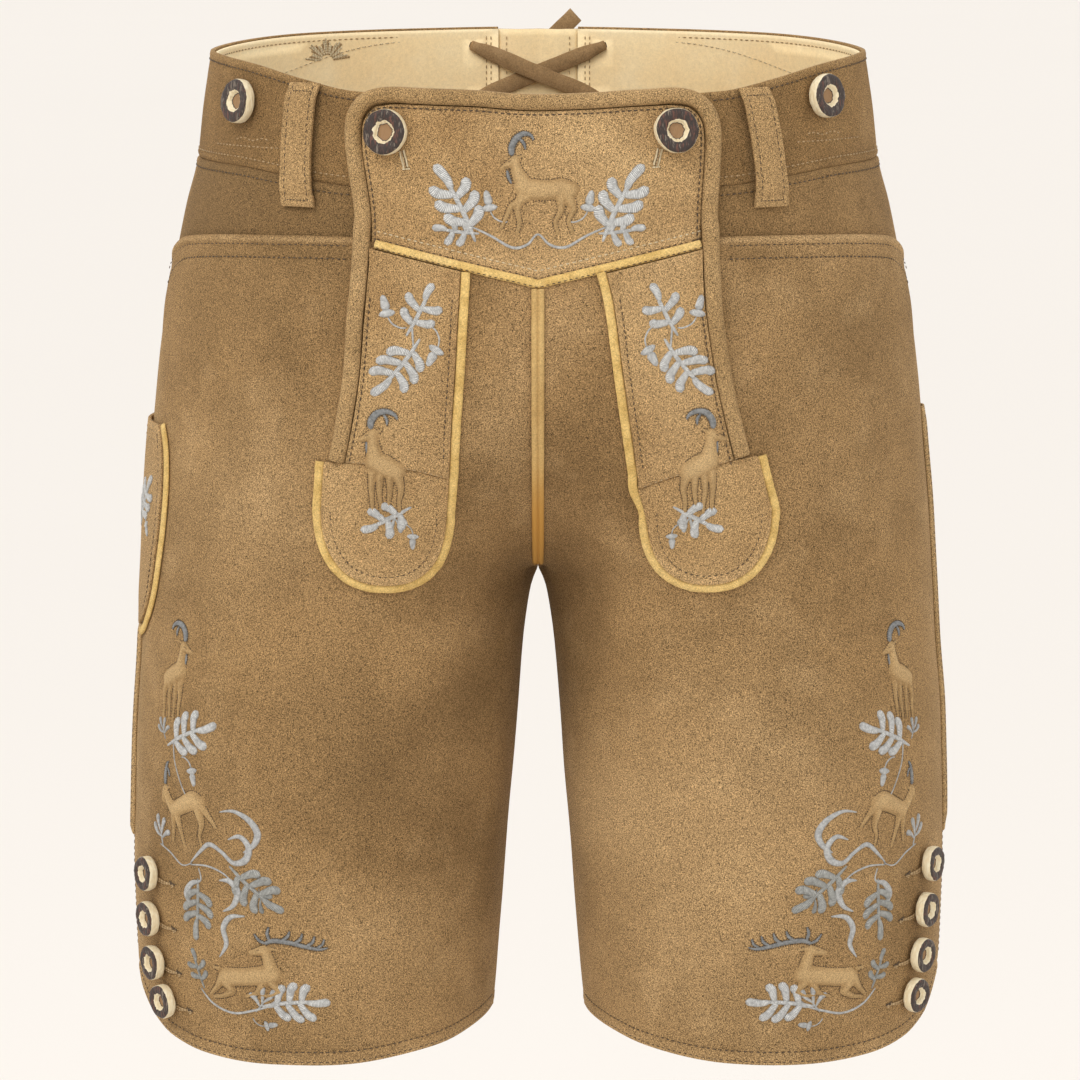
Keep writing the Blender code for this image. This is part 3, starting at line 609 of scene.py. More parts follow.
@dataclass
class LeatherSheet:
    """One cut piece of leather, as a thin wall."""

    columns: Sequence[float]
    rows: Sequence[float]
    spot: Callable[[float, float, float], Vector]
    wall: float = WALL
    # Tone per point: above 0 paler from use, and a painted highlight along the band's rim; below 0 darker,
    # painted shade and the leather's own darker patches.
    wear_and_shade: Callable[[float, float], float] = lambda u, v: 0.0
    holes: frozenset = frozenset()

    def build(self) -> bmesh.types.BMesh:
        """Make the outer face from a grid and pull the inner face out of it.

        Returns:
            The sheet as a closed mesh.
        """
        bm = bmesh.new()
        share = bm.verts.layers.float_vector.new("share")
        wear_and_shade_layer = bm.verts.layers.float.new("wear_and_shade")
        across, along = len(self.columns) - 1, len(self.rows) - 1
        bmesh.ops.create_grid(bm, x_segments=across, y_segments=along, size=0.5)
        for vert in bm.verts:
            column, row = round((vert.co.x + 0.5) * across), round((vert.co.y + 0.5) * along)
            vert[share] = (self.columns[column], self.rows[row], 0.0)
            vert[wear_and_shade_layer] = self.wear_and_shade(self.columns[column], self.rows[row])
        if self.holes:
            cut = [face for face in bm.faces
                   if (int((face.calc_center_median().x + 0.5) * across),
                       int((face.calc_center_median().y + 0.5) * along)) in self.holes]
            bmesh.ops.delete(bm, geom=cut, context="FACES")
        grown = bmesh.ops.extrude_face_region(bm, geom=bm.faces[:], use_keep_orig=True)
        inner = {item for item in grown["geom"] if isinstance(item, bmesh.types.BMVert)}
        for vert in bm.verts:
            point = self.spot(vert[share].x, vert[share].y, self.wall if vert in inner else 0.0)
            # Adds the pale and dark spots: the leather's own tone, and painted shade such as at the crotch.
            vert[wear_and_shade_layer] += tone_and_shade(point)
            vert.co = point * MM
        bm.verts.layers.float_vector.remove(share)
        return bm


def even(count: int, ends: Sequence[float] = ()) -> list[float]:
    """Shares from 0 to 1, closer together at both ends.

    Args:
        count: steps between the extra shares.
        ends: extra shares near 0, repeated near 1.

    Returns:
        The shares in rising order.
    """
    low = max(ends, default=0.0)
    middle = [lerp(low, 1.0 - low, k / count) for k in range(count + 1)]
    return sorted({round(s, 6) for s in [0.0, 1.0, *middle, *ends, *(1.0 - e for e in ends)]})


@dataclass
class Trim:
    """Narrow strip, cord edge or roll that follows a path on the surface."""

    path: Sequence[Flat]
    section: Sequence[Flat]
    put: Put
    step: float = 2.0
    waver: float = 0.0

    def rings(self) -> list[list[Vector]]:
        """Rings of points along the trim, in millimetres.

        Returns:
            The rings.
        """
        path = curve_through(self.path, self.step)
        made = []
        for index, (a, b) in enumerate(path):
            along = heading(path, index)
            ring = []
            for number, (side, height) in enumerate(self.section):
                edge = noise.noise(Vector((a / 3.1, b / 3.1, 20.0 if side > 0 else 40.0)))
                wide = side + math.copysign(self.waver * edge, side) if side else 0.0
                lift = height + (0.3 * self.waver * edge if height > 0.3 else 0.0)
                ring.append(self.put(a - along.y * wide, b + along.x * wide, lift))
            made.append(ring)
        return made

    def build(self) -> bmesh.types.BMesh:
        """Lay the trim as one closed tube.

        Returns:
            The trim as a closed mesh.
        """
        bm = bmesh.new()
        lay_tube(bm, self.rings(), self.step)
        return bm


def both_sides(half: Sequence[Flat], middle: Sequence[Flat] = ()) -> list[Flat]:
    """A whole section from one half, given from its foot up, and what lies between the halves."""
    return [(-side, height) for side, height in half] + [*middle, *half[::-1]]


def roll_section(half: float, height: float, count: int = 14) -> list[Flat]:
    """Section of a padded roll: flat below, domed above.

    Args:
        half: half of its width.
        height: height of its dome.
        count: points round it.

    Returns:
        (side, height) points.
    """
    made = []
    for k in range(count):
        turn = 2.0 * math.pi * k / count
        rise = math.sin(turn)
        made.append((half * math.copysign(abs(math.cos(turn)) ** 0.8, math.cos(turn)),
                     height * rise ** 0.8 if rise > 0 else 0.5 * rise))
    return made


# Finishes

class Wiring:
    """Adds nodes to a tree and joins them."""

    def __init__(self, tree: bpy.types.NodeTree) -> None:
        """Start on a tree."""
        self.tree = tree

    def add(self, kind: str, **settings: object) -> bpy.types.Node:
        """Add a node and give its properties their values.

        Args:
            kind: the node's type.
            settings: its properties.

        Returns:
            The node.
        """
        node = self.tree.nodes.new(kind)
        for key, value in settings.items():
            setattr(node, key, value)
        return node

    def join(self, source: object, target: object) -> None:
        """Join an output to an input."""
        self.tree.links.new(source, target)

    def feed(self, node: bpy.types.Node, name: object, value: object) -> None:
        """Set an input, or join it where the value is an output.

        Args:
            node: the node.
            name: its input's name or number.
            value: a number, colour or output.
        """
        socket = node.inputs[name]
        if isinstance(value, bpy.types.NodeSocket):
            self.join(value, socket)
        else:
            socket.default_value = value

    def noise(self, place: object, scale: object, detail: float, rough: float) -> object:
        """Noise texture's value at a place.

        Args:
            place: coordinates.
            scale: the noise's scale.
            detail: its octaves.
            rough: weight of the finer octaves.

        Returns:
            The output socket.
        """
        node = self.add("ShaderNodeTexNoise")
        self.feed(node, "Vector", place)
        self.feed(node, "Scale", scale)
        self.feed(node, "Detail", detail)
        self.feed(node, "Roughness", rough)
        return node.outputs["Fac"]

    def remap(self, value: object, low: float, high: float, out_low: float = 0.0,
              out_high: float = 1.0) -> object:
        """Stretch a value from one range to another, held at its ends.

        Args:
            value: the value.
            low: start of its range.
            high: end of its range.
            out_low: what the start becomes.
            out_high: what the end becomes.

        Returns:
            The output socket.
        """
        node = self.add("ShaderNodeMapRange", interpolation_type="SMOOTHSTEP")
        for name, number in (("Value", value), ("From Min", low), ("From Max", high),
                             ("To Min", out_low), ("To Max", out_high)):
            self.feed(node, name, number)
        return node.outputs["Result"]

    def maths(self, how: str, a: object, b: object = 0.0) -> object:
        """Maths node's value.

        Args:
            how: the operation.
            a: first value.
            b: second value.

        Returns:
            The output socket.
        """
        node = self.add("ShaderNodeMath", operation=how)
        self.feed(node, 0, a)
        self.feed(node, 1, b)
        return node.outputs[0]

    def mix(self, share: object, a: object, b: object, blend: str = "MIX") -> object:
        """Blend of two colours.

        Args:
            share: weight of the second colour.
            a: first colour.
            b: second colour.
            blend: blend type.

        Returns:
            The output socket.
        """
        node = self.add("ShaderNodeMix", data_type="RGBA", blend_type=blend)
        self.feed(node, 0, share)
        self.feed(node, 6, a)
        self.feed(node, 7, b)
        return node.outputs[2]


def shared_group(name: str, inputs: Sequence[tuple[str, str]], outputs: Sequence[tuple[str, str]]) -> tuple:
    """Start a shader node group with named sockets.

    Args:
        name: the group's name.
        inputs: (name, socket type) pairs.
        outputs: (name, socket type) pairs.

    Returns:
        The group, its wiring, its input node and its output node.
    """
    group = bpy.data.node_groups.new(name, "ShaderNodeTree")
    for label, kind in inputs:
        group.interface.new_socket(name=label, in_out="INPUT", socket_type=kind)
    for label, kind in outputs:
        group.interface.new_socket(name=label, in_out="OUTPUT", socket_type=kind)
    wires = Wiring(group)
    return group, wires, wires.add("NodeGroupInput"), wires.add("NodeGroupOutput")


def nap_group() -> bpy.types.NodeTree:
    """Suede: mottled colour, fine speckled nap, paler places from use and painted highlight where the
    per-point input is above 0, and painted shade where it is below 0.

    Returns:
        The node group.
    """
    sockets = [("Place", "NodeSocketVector"), ("Wear and shade", "NodeSocketFloat"), ("Dark", "NodeSocketColor"),
               ("Middle", "NodeSocketColor"), ("Light", "NodeSocketColor"), ("Mottle", "NodeSocketFloat"),
               ("Nap", "NodeSocketFloat"), ("Contrast", "NodeSocketFloat")]
    results = [("Color", "NodeSocketColor"), ("Height", "NodeSocketFloat")]
    group, wires, take, give = shared_group("suede_nap", sockets, results)
    place = take.outputs["Place"]
    cloud = wires.noise(place, take.outputs["Mottle"], 5.0, 0.62)
    patch = wires.noise(place, 34.0, 4.0, 0.6)
    tone = wires.mix(wires.remap(cloud, 0.30, 0.66), take.outputs["Dark"], take.outputs["Middle"])
    # Below 0 the per-point input darkens, first towards the dark tone, then towards black: painted shade, and
    # the leather's own darker patches.
    darkening = wires.maths("MULTIPLY", take.outputs["Wear and shade"], -1.0)
    tone = wires.mix(wires.remap(darkening, 0.0, 1.0), tone, take.outputs["Dark"])
    tone = wires.mix(wires.remap(darkening, 0.35, 1.3, 1.0, 0.72), (0.0, 0.0, 0.0, 1.0), tone)
    # Paler: random patches, paler places from use, and the painted highlight on the band's rim.
    rubbed_and_highlit = wires.add("ShaderNodeClamp")
    patches = wires.maths("MULTIPLY", wires.remap(patch, 0.45, 0.78), 0.45)
    wires.feed(rubbed_and_highlit, "Value", wires.maths("ADD", patches, take.outputs["Wear and shade"]))
    tone = wires.mix(rubbed_and_highlit.outputs[0], tone, take.outputs["Light"])
    coarse = wires.noise(place, take.outputs["Nap"], 3.0, 0.75)
    fine = wires.noise(place, wires.maths("MULTIPLY", take.outputs["Nap"], 2.6), 2.0, 0.7)
    speck = wires.maths("ADD", wires.maths("MULTIPLY", coarse, 0.55), wires.maths("MULTIPLY", fine, 0.45))
    centred = wires.maths("MULTIPLY", wires.maths("SUBTRACT", speck, 0.5), take.outputs["Contrast"])
    grain = wires.maths("ADD", centred, 1.0)
    shade = wires.add("ShaderNodeCombineColor")
    for name in ("Red", "Green", "Blue"):
        wires.join(grain, shade.inputs[name])
    wires.join(wires.mix(1.0, tone, shade.outputs[0], "MULTIPLY"), give.inputs["Color"])
    wires.join(speck, give.inputs["Height"])
    return group


def twist_group() -> bpy.types.NodeTree:
    """Thread: rows of stitches across the work, with their shadows and a slight tremble.

    Returns:
        The node group.
    """
    group, wires, take, give = shared_group("thread_rows", [("Spacing", "NodeSocketFloat")],
                                        [("Shade", "NodeSocketFloat"), ("Height", "NodeSocketFloat")])
    chart = wires.add("ShaderNodeTexCoord")
    parts = wires.add("ShaderNodeSeparateXYZ")
    wires.join(chart.outputs["UV"], parts.inputs[0])
    tremble = wires.noise(chart.outputs["Object"], 700.0, 2.0, 0.6)
    slant = wires.maths("MULTIPLY", parts.outputs["Y"], 0.0011)
    along = wires.maths("ADD", wires.maths("ADD", parts.outputs["X"], slant),
                        wires.maths("MULTIPLY", tremble, 0.0004))
    wave = wires.maths("SINE", wires.maths("DIVIDE", along, take.outputs["Spacing"]))
    row = wires.maths("ADD", wires.maths("MULTIPLY", wave, 0.5), 0.5)
    wires.join(wires.maths("ADD", wires.maths("MULTIPLY", row, 0.42), wires.maths("MULTIPLY", tremble, 0.75)),
               give.inputs["Shade"])
    wires.join(row, give.inputs["Height"])
    return group


@dataclass(frozen=True)
class SuedeFinish:
    """Brushed leather: three tones, the size of its mottling and nap, its sheen, and an optional painted
    shade low down.
    """

    name: str
    dark: tuple
    middle: tuple
    light: tuple
    mottle: float = 13.0
    nap: float = 1850.0
    contrast: float = 10.6
    sheen: float = 0.25
    relief: float = 1.0
    # foot holds a low and a high height and a colour: painted shade that darkens towards the colour below the
    # high height, fully below the low one.
    foot: tuple = ()

    def material(self, group: bpy.types.NodeTree) -> bpy.types.Material:
        """Build the material from the shared nap group.

        Args:
            group: the shared node group.

        Returns:
            The material.
        """
        made, wires, shader = start_material(self.name)
        chart = wires.add("ShaderNodeTexCoord")
        nap = wires.add("ShaderNodeGroup", node_tree=group)
        wires.join(chart.outputs["Object"], nap.inputs["Place"])
        wear_shade_node = wires.add("ShaderNodeAttribute", attribute_name="wear_and_shade")
        wires.join(wear_shade_node.outputs["Fac"], nap.inputs["Wear and shade"])
        for label, tone in (("Dark", self.dark), ("Middle", self.middle), ("Light", self.light)):
            nap.inputs[label].default_value = (*tone, 1.0)
        nap.inputs["Mottle"].default_value = self.mottle
        nap.inputs["Nap"].default_value = self.nap
        nap.inputs["Contrast"].default_value = self.contrast
        tone = nap.outputs["Color"]
        # Painted shade: darker towards the bottom, where the piping curves under.
        if self.foot:
            low, high, painted_shade_colour = self.foot
            parts = wires.add("ShaderNodeSeparateXYZ")
            wires.join(chart.outputs["Object"], parts.inputs[0])
            tone = wires.mix(wires.remap(parts.outputs["Z"], low, high), (*painted_shade_colour, 1.0), tone)
        wires.join(tone, shader.inputs["Base Color"])
        raise_bump(wires, shader, nap.outputs["Height"], self.relief, 0.0006)
        shader.inputs["Roughness"].default_value = 0.92
        shader.inputs["Specular IOR Level"].default_value = 0.2
        shader.inputs["Sheen Weight"].default_value = self.sheen
        shader.inputs["Sheen Roughness"].default_value = 0.45
        shader.inputs["Sheen Tint"].default_value = (*self.light, 1.0)
        return made


@dataclass(frozen=True)
class ThreadFinish:
    """Shiny thread of one colour."""

    name: str
    shade: tuple
    light: tuple
    gloss: float = 0.42
    spacing: float = 0.000068

    def material(self, group: bpy.types.NodeTree) -> bpy.types.Material:
        """Build the material from the shared thread group.

        Args:
            group: the shared node group.

        Returns:
            The material.
        """
        made, wires, shader = start_material(self.name)
        rows = wires.add("ShaderNodeGroup", node_tree=group)
        rows.inputs["Spacing"].default_value = self.spacing
        tone = wires.mix(wires.remap(rows.outputs["Shade"], 0.3, 0.9), (*self.shade, 1.0), (*self.light, 1.0))
        wires.join(tone, shader.inputs["Base Color"])
        raise_bump(wires, shader, rows.outputs["Height"], 0.9, 0.0003)
        shader.inputs["Roughness"].default_value = self.gloss
        shader.inputs["Specular IOR Level"].default_value = 0.35
        return made


@dataclass(frozen=True)
class AntlerFinish:
    """Antler slice: dark bark on the face, pale horn at the sides and in the well, brown marrow."""

    name: str = "antler_slice"
    bark: tuple = (0.030, 0.018, 0.013)
    red: tuple = (0.125, 0.048, 0.030)
    horn: tuple = (0.80, 0.66, 0.42)
    marrow: tuple = (0.30, 0.17, 0.075)
    grey_streak: tuple = (0.21, 0.165, 0.125)
    bone: tuple = (0.88, 0.79, 0.57)

    def material(self) -> bpy.types.Material:
        """Build the material from the slice's own zone attribute.

        Returns:
            The material.
        """
        made, wires, shader = start_material(self.name)
        chart = wires.add("ShaderNodeTexCoord")
        place = chart.outputs["Object"]
        zone = wires.add("ShaderNodeAttribute", attribute_name="zone").outputs["Fac"]
        grooves = wires.add("ShaderNodeMapping")
        grooves.inputs["Scale"].default_value = (1.0, 1.0, 0.22)
        grooves.inputs["Rotation"].default_value = (0.0, 0.3, 0.0)
        wires.join(place, grooves.inputs["Vector"])
        streak = wires.noise(grooves.outputs[0], 620.0, 3.0, 0.7)
        edge = wires.noise(place, 420.0, 3.0, 0.6)
        ragged = wires.maths("ADD", zone, wires.maths("MULTIPLY", wires.maths("SUBTRACT", edge, 0.5), 0.5))
        bark = wires.mix(wires.remap(streak, 0.52, 0.66), (*self.bark, 1.0), (*self.red, 1.0))
        # Lighter grey streaks in the dark bark, where the streak noise is low.
        bark = wires.mix(wires.remap(streak, 0.36, 0.44, 0.8, 0.0), bark, (*self.grey_streak, 1.0))
        horn = wires.mix(wires.remap(streak, 0.35, 0.7), (*self.horn, 1.0), (*self.bone, 1.0))
        tone = wires.mix(wires.remap(ragged, 0.42, 0.52), horn, bark)
        tone = wires.mix(wires.remap(zone, 1.6, 1.9), tone, (*self.marrow, 1.0))
        wires.join(tone, shader.inputs["Base Color"])
        wires.join(wires.remap(ragged, 0.4, 0.6, 0.32, 0.5), shader.inputs["Roughness"])
        raise_bump(wires, shader, streak, 1.0, 0.0012)
        return made


def start_material(name: str) -> tuple:
    """Start a node material: the material, its wiring and its Principled shader.

    Args:
        name: the material's name.

    Returns:
        The material, its wiring and its shader.
    """
    made = bpy.data.materials.new(name)
    made.use_nodes = True
    return made, Wiring(made.node_tree), made.node_tree.nodes["Principled BSDF"]


def raise_bump(wires: Wiring, shader: bpy.types.Node, height: object, strength: float,
               distance: float) -> None:
    """Feed a shader's normal from a height.

    Args:
        wires: the material's wiring.
        shader: its shader.
        height: the height's output.
        strength: the bump's strength.
        distance: the bump's height, in metres.
    """
    node = wires.add("ShaderNodeBump")
    node.inputs["Strength"].default_value = strength
    node.inputs["Distance"].default_value = distance
    wires.join(height, node.inputs["Height"])
    wires.join(node.outputs["Normal"], shader.inputs["Normal"])


@dataclass
class Wardrobe:
    """Every finish of the trousers, made once."""

    suede: SuedeFinish = SuedeFinish("suede", (0.215, 0.128, 0.052), (0.335, 0.205, 0.088),
                                     (0.445, 0.290, 0.138))
    band: SuedeFinish = SuedeFinish("band_suede", (0.190, 0.110, 0.043), (0.270, 0.160, 0.064),
                                    (0.40, 0.255, 0.115), 18.0)
    edge: SuedeFinish = SuedeFinish("edge_suede", (0.32, 0.200, 0.086), (0.41, 0.265, 0.122),
                                    (0.49, 0.330, 0.160), 20.0)
    flap: SuedeFinish = SuedeFinish("flap_suede", (0.325, 0.196, 0.083), (0.43, 0.274, 0.123),
                                    (0.53, 0.355, 0.172), 16.0)
    relief: SuedeFinish = SuedeFinish("relief_suede", (0.36, 0.225, 0.098), (0.46, 0.30, 0.138),
                                      (0.56, 0.385, 0.19), 40.0, 1850.0, 4.6)
    lining: SuedeFinish = SuedeFinish("lining_leather", (0.90, 0.68, 0.375), (0.93, 0.75, 0.45),
                                      (0.95, 0.81, 0.55), 12.0, 500.0, 0.6, 0.1, 0.2)
    piping: SuedeFinish = SuedeFinish("chamois_piping", (0.54, 0.35, 0.112), (0.70, 0.485, 0.18),
                                      (0.82, 0.63, 0.32), 150.0, 1300.0, 3.2, 0.15, 0.7)
    # The centre piping darkens below z -0.15 m: painted shade where it curves under at the crotch.
    amber: SuedeFinish = SuedeFinish("centre_piping_leather", (0.42, 0.26, 0.095), (0.54, 0.36, 0.145),
                                     (0.66, 0.47, 0.21), 30.0, 1100.0, 2.2, 0.15, 0.5,
                                     (-0.200, -0.150, (0.52, 0.27, 0.06)))
    lace: SuedeFinish = SuedeFinish("lace_leather", (0.24, 0.148, 0.068), (0.34, 0.215, 0.104),
                                    (0.46, 0.31, 0.165), 50.0, 1100.0, 2.2, 0.15, 0.5)
    made: dict = field(default_factory=dict)

    def hang(self) -> None:
        """Make every material."""
        nap, twist = nap_group(), twist_group()
        for key in ("suede", "band", "edge", "flap", "relief", "lining", "piping", "amber", "lace"):
            self.made[key] = getattr(self, key).material(nap)
        for thread, shade, light, gloss in (
                (Thread.SILVER, (0.29, 0.29, 0.285), (0.80, 0.80, 0.78), 0.38),
                (Thread.ASH, (0.18, 0.18, 0.168), (0.52, 0.52, 0.49), 0.42),
                (Thread.SLATE, (0.115, 0.117, 0.117), (0.43, 0.435, 0.43), 0.42),
                (Thread.TAN, (0.30, 0.19, 0.085), (0.52, 0.37, 0.20), 0.6),
                (Thread.BROWN, (0.060, 0.038, 0.022), (0.13, 0.088, 0.050), 0.6),
                (Thread.CREAM, (0.50, 0.40, 0.24), (0.72, 0.60, 0.40), 0.6)):
            self.made[thread] = ThreadFinish(f"{thread.value}_thread", shade, light, gloss).material(twist)
        self.made["antler"] = AntlerFinish().material()

    def __getitem__(self, key: object) -> bpy.types.Material:
        """A finish by its key."""
        return self.made[key]


# Sewing

@dataclass
class Needlework:
    """Rows of machine stitches, gathered by thread into one object each."""

    wardrobe: Wardrobe
    meshes: dict = field(default_factory=dict)

    def run(self, thread: Thread, path: Sequence[Flat], put: Put, pitch: float = 3.1, length: float = 2.2,
            width: float = 0.62, height: float = 0.12, smooth: bool = True) -> None:
        """Sew one row.

        Args:
            thread: the thread's colour.
            path: (across, level) points of the row.
            put: function of across, level and offset giving a point.
            pitch: distance from stitch to stitch.
            length: length of a stitch.
            width: width of a stitch.
            height: how far a stitch's middle stands above the surface.
            smooth: True to round the path's corners.
        """
        bm = bmesh.new()
        line = curve_through(path, 1.0) if smooth else [list(p) for p in path]
        spots = [put(a, b, height) for a, b, *_ in line]
        reach, wait = 0.0, pitch / 2.0
        for (a, b, *_), spot, nxt in zip(line, spots, spots[1:]):
            gap = (nxt - spot).length
            while gap > 1e-6 and reach + gap >= wait:
                t = (wait - reach) / gap
                middle = spot.lerp(nxt, t)
                along = (nxt - spot).normalized()
                up = (put(a, b, height + 2.0) - spot).normalized()
                aside = up.cross(along).normalized()
                wobble = noise.noise(middle * 0.9)
                along = (along + aside * 0.10 * wobble).normalized()
                turn = Matrix((along, aside, along.cross(aside))).transposed().to_4x4()
                size = Matrix.Diagonal((length * (1.0 + 0.12 * wobble) / 2.0, width / 2.0, 0.26, 1.0))
                stitch = Matrix.Translation(middle * MM) @ turn @ size @ Matrix.Scale(MM, 4)
                bmesh.ops.create_uvsphere(bm, u_segments=6, v_segments=3, radius=1.0,
                                          matrix=stitch @ Matrix.Rotation(math.pi / 2, 4, "Y"))
                wait += pitch
            reach += gap
        pour(bm, self.mesh(thread))

    def mesh(self, thread: Thread) -> bmesh.types.BMesh:
        """The mesh that gathers a thread's stitches.

        Args:
            thread: the thread's colour.

        Returns:
            The mesh in the making.
        """
        if thread not in self.meshes:
            self.meshes[thread] = bmesh.new()
        return self.meshes[thread]

    def finish(self) -> None:
        """Make one object of each thread's stitches."""
        for thread, bm in self.meshes.items():
            uv = bm.loops.layers.uv.verify()
            for face in bm.faces:
                for loop in face.loops:
                    loop[uv].uv = (loop.vert.co.x * 0.3, 0.5)
            Piece(f"seam_stitches_{thread.value}", self.wardrobe[thread]).build(bm, outward=False)


# Embroidery

@dataclass(frozen=True)
class Stroke:
    """One satin-stitched stroke: (across, up, half width) points in the motif's own millimetres."""

    points: tuple
    thread: Thread = Thread.SILVER


@dataclass(frozen=True)
class Limb:
    """One stuffed part of an animal: (across, up, radius) points in the motif's own millimetres."""

    points: tuple


@dataclass(frozen=True)
class Motif:
    """A drawing in thread and stuffed leather."""

    strokes: tuple = ()
    limbs: tuple = ()
    lines: tuple = ()


@dataclass(frozen=True)
class Spot:
    """Where a motif goes: its surface, place, turn, size and whether it is turned over."""

    put: Put
    across: float
    level: float
    turn: float = 0.0
    size: float = 1.0
    flip: bool = False

    def flat(self, u: float, v: float) -> Flat:
        """Place on the surface of a point of the drawing.

        Args:
            u: across the drawing.
            v: up the drawing.

        Returns:
            The place across and the level.
        """
        u = -u if self.flip else u
        c, s = math.cos(math.radians(self.turn)), math.sin(math.radians(self.turn))
        return self.across + self.size * (u * c - v * s), self.level + self.size * (u * s + v * c)


def oak_leaf(bend: float = 0.0, length: float = 21.0, half: float = 6.8, lobes: int = 3,
             thread: Thread = Thread.SILVER) -> Motif:
    """Oak leaf pointing up from its stalk: round lobes in satin on both sides of a rib.

    Args:
        bend: sideways bend of the rib, in millimetres at 14 mm up.
        length: length from its foot to its tip.
        half: half of its greatest width.
        lobes: lobes on each side.
        thread: its thread.

    Returns:
        The motif.
    """
    def bent(points: Sequence[tuple]) -> Stroke:
        """A stroke that follows the leaf's bend."""
        return Stroke(tuple((x + bend * y * y / 200.0, y, w) for x, y, w in points), thread)

    strokes = [bent([(0.0, y, 0.38 if y < 0.0 else 0.75) for y in (-4.0, 2.0, 8.0, length * 0.62)])]
    for number in range(lobes):
        for side in (1.0, -1.0):
            share = (number + (0.0 if side > 0 else 0.22)) / lobes
            foot = length * (0.04 + 0.62 * share)
            full = side * half * (0.72 + 0.36 * math.sin(math.pi * min(0.18 + 0.8 * share, 1.0)))
            strokes.append(bent([(0.0, foot, 1.0), (full * 0.36, foot + 0.05 * length, 1.3),
                                 (full * 0.72, foot + 0.11 * length, 1.6),
                                 (full * 0.92, foot + 0.22 * length, 1.5)]))
    strokes.append(bent([(0.0, length * 0.58, 0.9), (0.5, length * 0.72, 1.3), (0.1, length * 0.88, 1.5),
                         (-0.4, length * 0.98, 1.35)]))
    return Motif(tuple(strokes))


def oak_spray(thread: Thread = Thread.SILVER) -> Motif:
    """Small leaf of three long lobes.

    Args:
        thread: its thread.

    Returns:
        The motif.
    """
    return Motif((
        Stroke(((0, -3, 0.3), (0.2, 2, 0.5), (0, 5, 0.5)), thread),
        Stroke(((0, 1, 0.4), (-3.0, 2.6, 1.0), (-6.0, 3.4, 1.6), (-8.2, 2.6, 1.35)), thread),
        Stroke(((0, 3, 0.4), (-1.8, 6.4, 1.0), (-4.2, 9.6, 1.6), (-5.6, 11.2, 1.3)), thread),
        Stroke(((0, 4, 0.4), (1.2, 8.0, 1.0), (1.2, 11.8, 1.65), (0.6, 14.0, 1.3)), thread),
        Stroke(((0, 2, 0.4), (3.4, 4.4, 1.0), (5.2, 7.8, 1.5), (5.4, 10.2, 1.2)), thread)))


def acorn() -> Motif:
    """Acorn hanging from a curled stalk.

    Returns:
        The motif.
    """
    return Motif((
        Stroke(((-6.4, -7.0, 0.3), (-4.0, -6.6, 0.35), (-1.2, -4.4, 0.35), (0, -1.4, 0.3))),
        Stroke(((-3.3, -0.3, 0.6), (0, 0, 1.75), (3.3, -0.3, 0.6))),
        Stroke(((0, 1.0, 2.1), (0.1, 3.8, 1.75), (0.3, 7.2, 1.0)))))


def chamois_walking() -> Motif:
    """Chamois stepping to the left, with its horns curled back.

    Returns:
        The motif.
    """
    return Motif(
        (Stroke(((-15.2, 18.4, 1.3), (-15.4, 22.6, 1.75), (-13.2, 27.0, 1.75), (-9.6, 29.4, 1.4),
                 (-6.0, 28.6, 0.9), (-4.6, 26.0, 0.4)), Thread.SLATE),
         Stroke(((-11.6, 27.0, 0.7), (-9.4, 24.6, 0.8), (-8.6, 21.6, 0.35)), Thread.SLATE),
         Stroke(((-17.6, 11.6, 0.5), (-17.0, 8.2, 0.9), (-15.4, 4.6, 0.35)), Thread.SLATE)),
        (Limb(((-9.5, 3.0, 4.6), (-4, 1.8, 5.2), (3, 1.6, 4.8), (9, 2.4, 5.0), (13, 1.4, 4.4))),
         Limb(((-9.5, 4.5, 4.4), (-12.6, 10.5, 3.0), (-13.8, 15.0, 2.4))),
         Limb(((-13.9, 16.0, 2.5), (-17.0, 14.2, 1.8), (-20.0, 12.6, 1.1))),
         Limb(((-12.4, 17.4, 0.9), (-9.8, 18.6, 0.5))),
         Limb(((-10.4, -1, 2.6), (-12.6, -8, 1.5), (-11.6, -14.5, 1.0), (-12.8, -19.5, 0.9))),
         Limb(((-8.0, -2, 2.4), (-15.6, -6.4, 1.4), (-18.2, -12, 1.0), (-20.6, -17, 0.9))),
         Limb(((12.0, -1, 3.4), (15.0, -7.6, 1.6), (12.6, -13.6, 1.0), (14.6, -19.5, 0.9))),
         Limb(((9.0, -2, 3.0), (8.8, -8.6, 1.5), (6.0, -14.2, 1.0), (7.4, -19.5, 0.9))),
         Limb(((15.6, 4.6, 1.0), (17.8, 2.2, 0.6)))),
        (((-17.2, 15.6), (-15.8, 16.0)),))


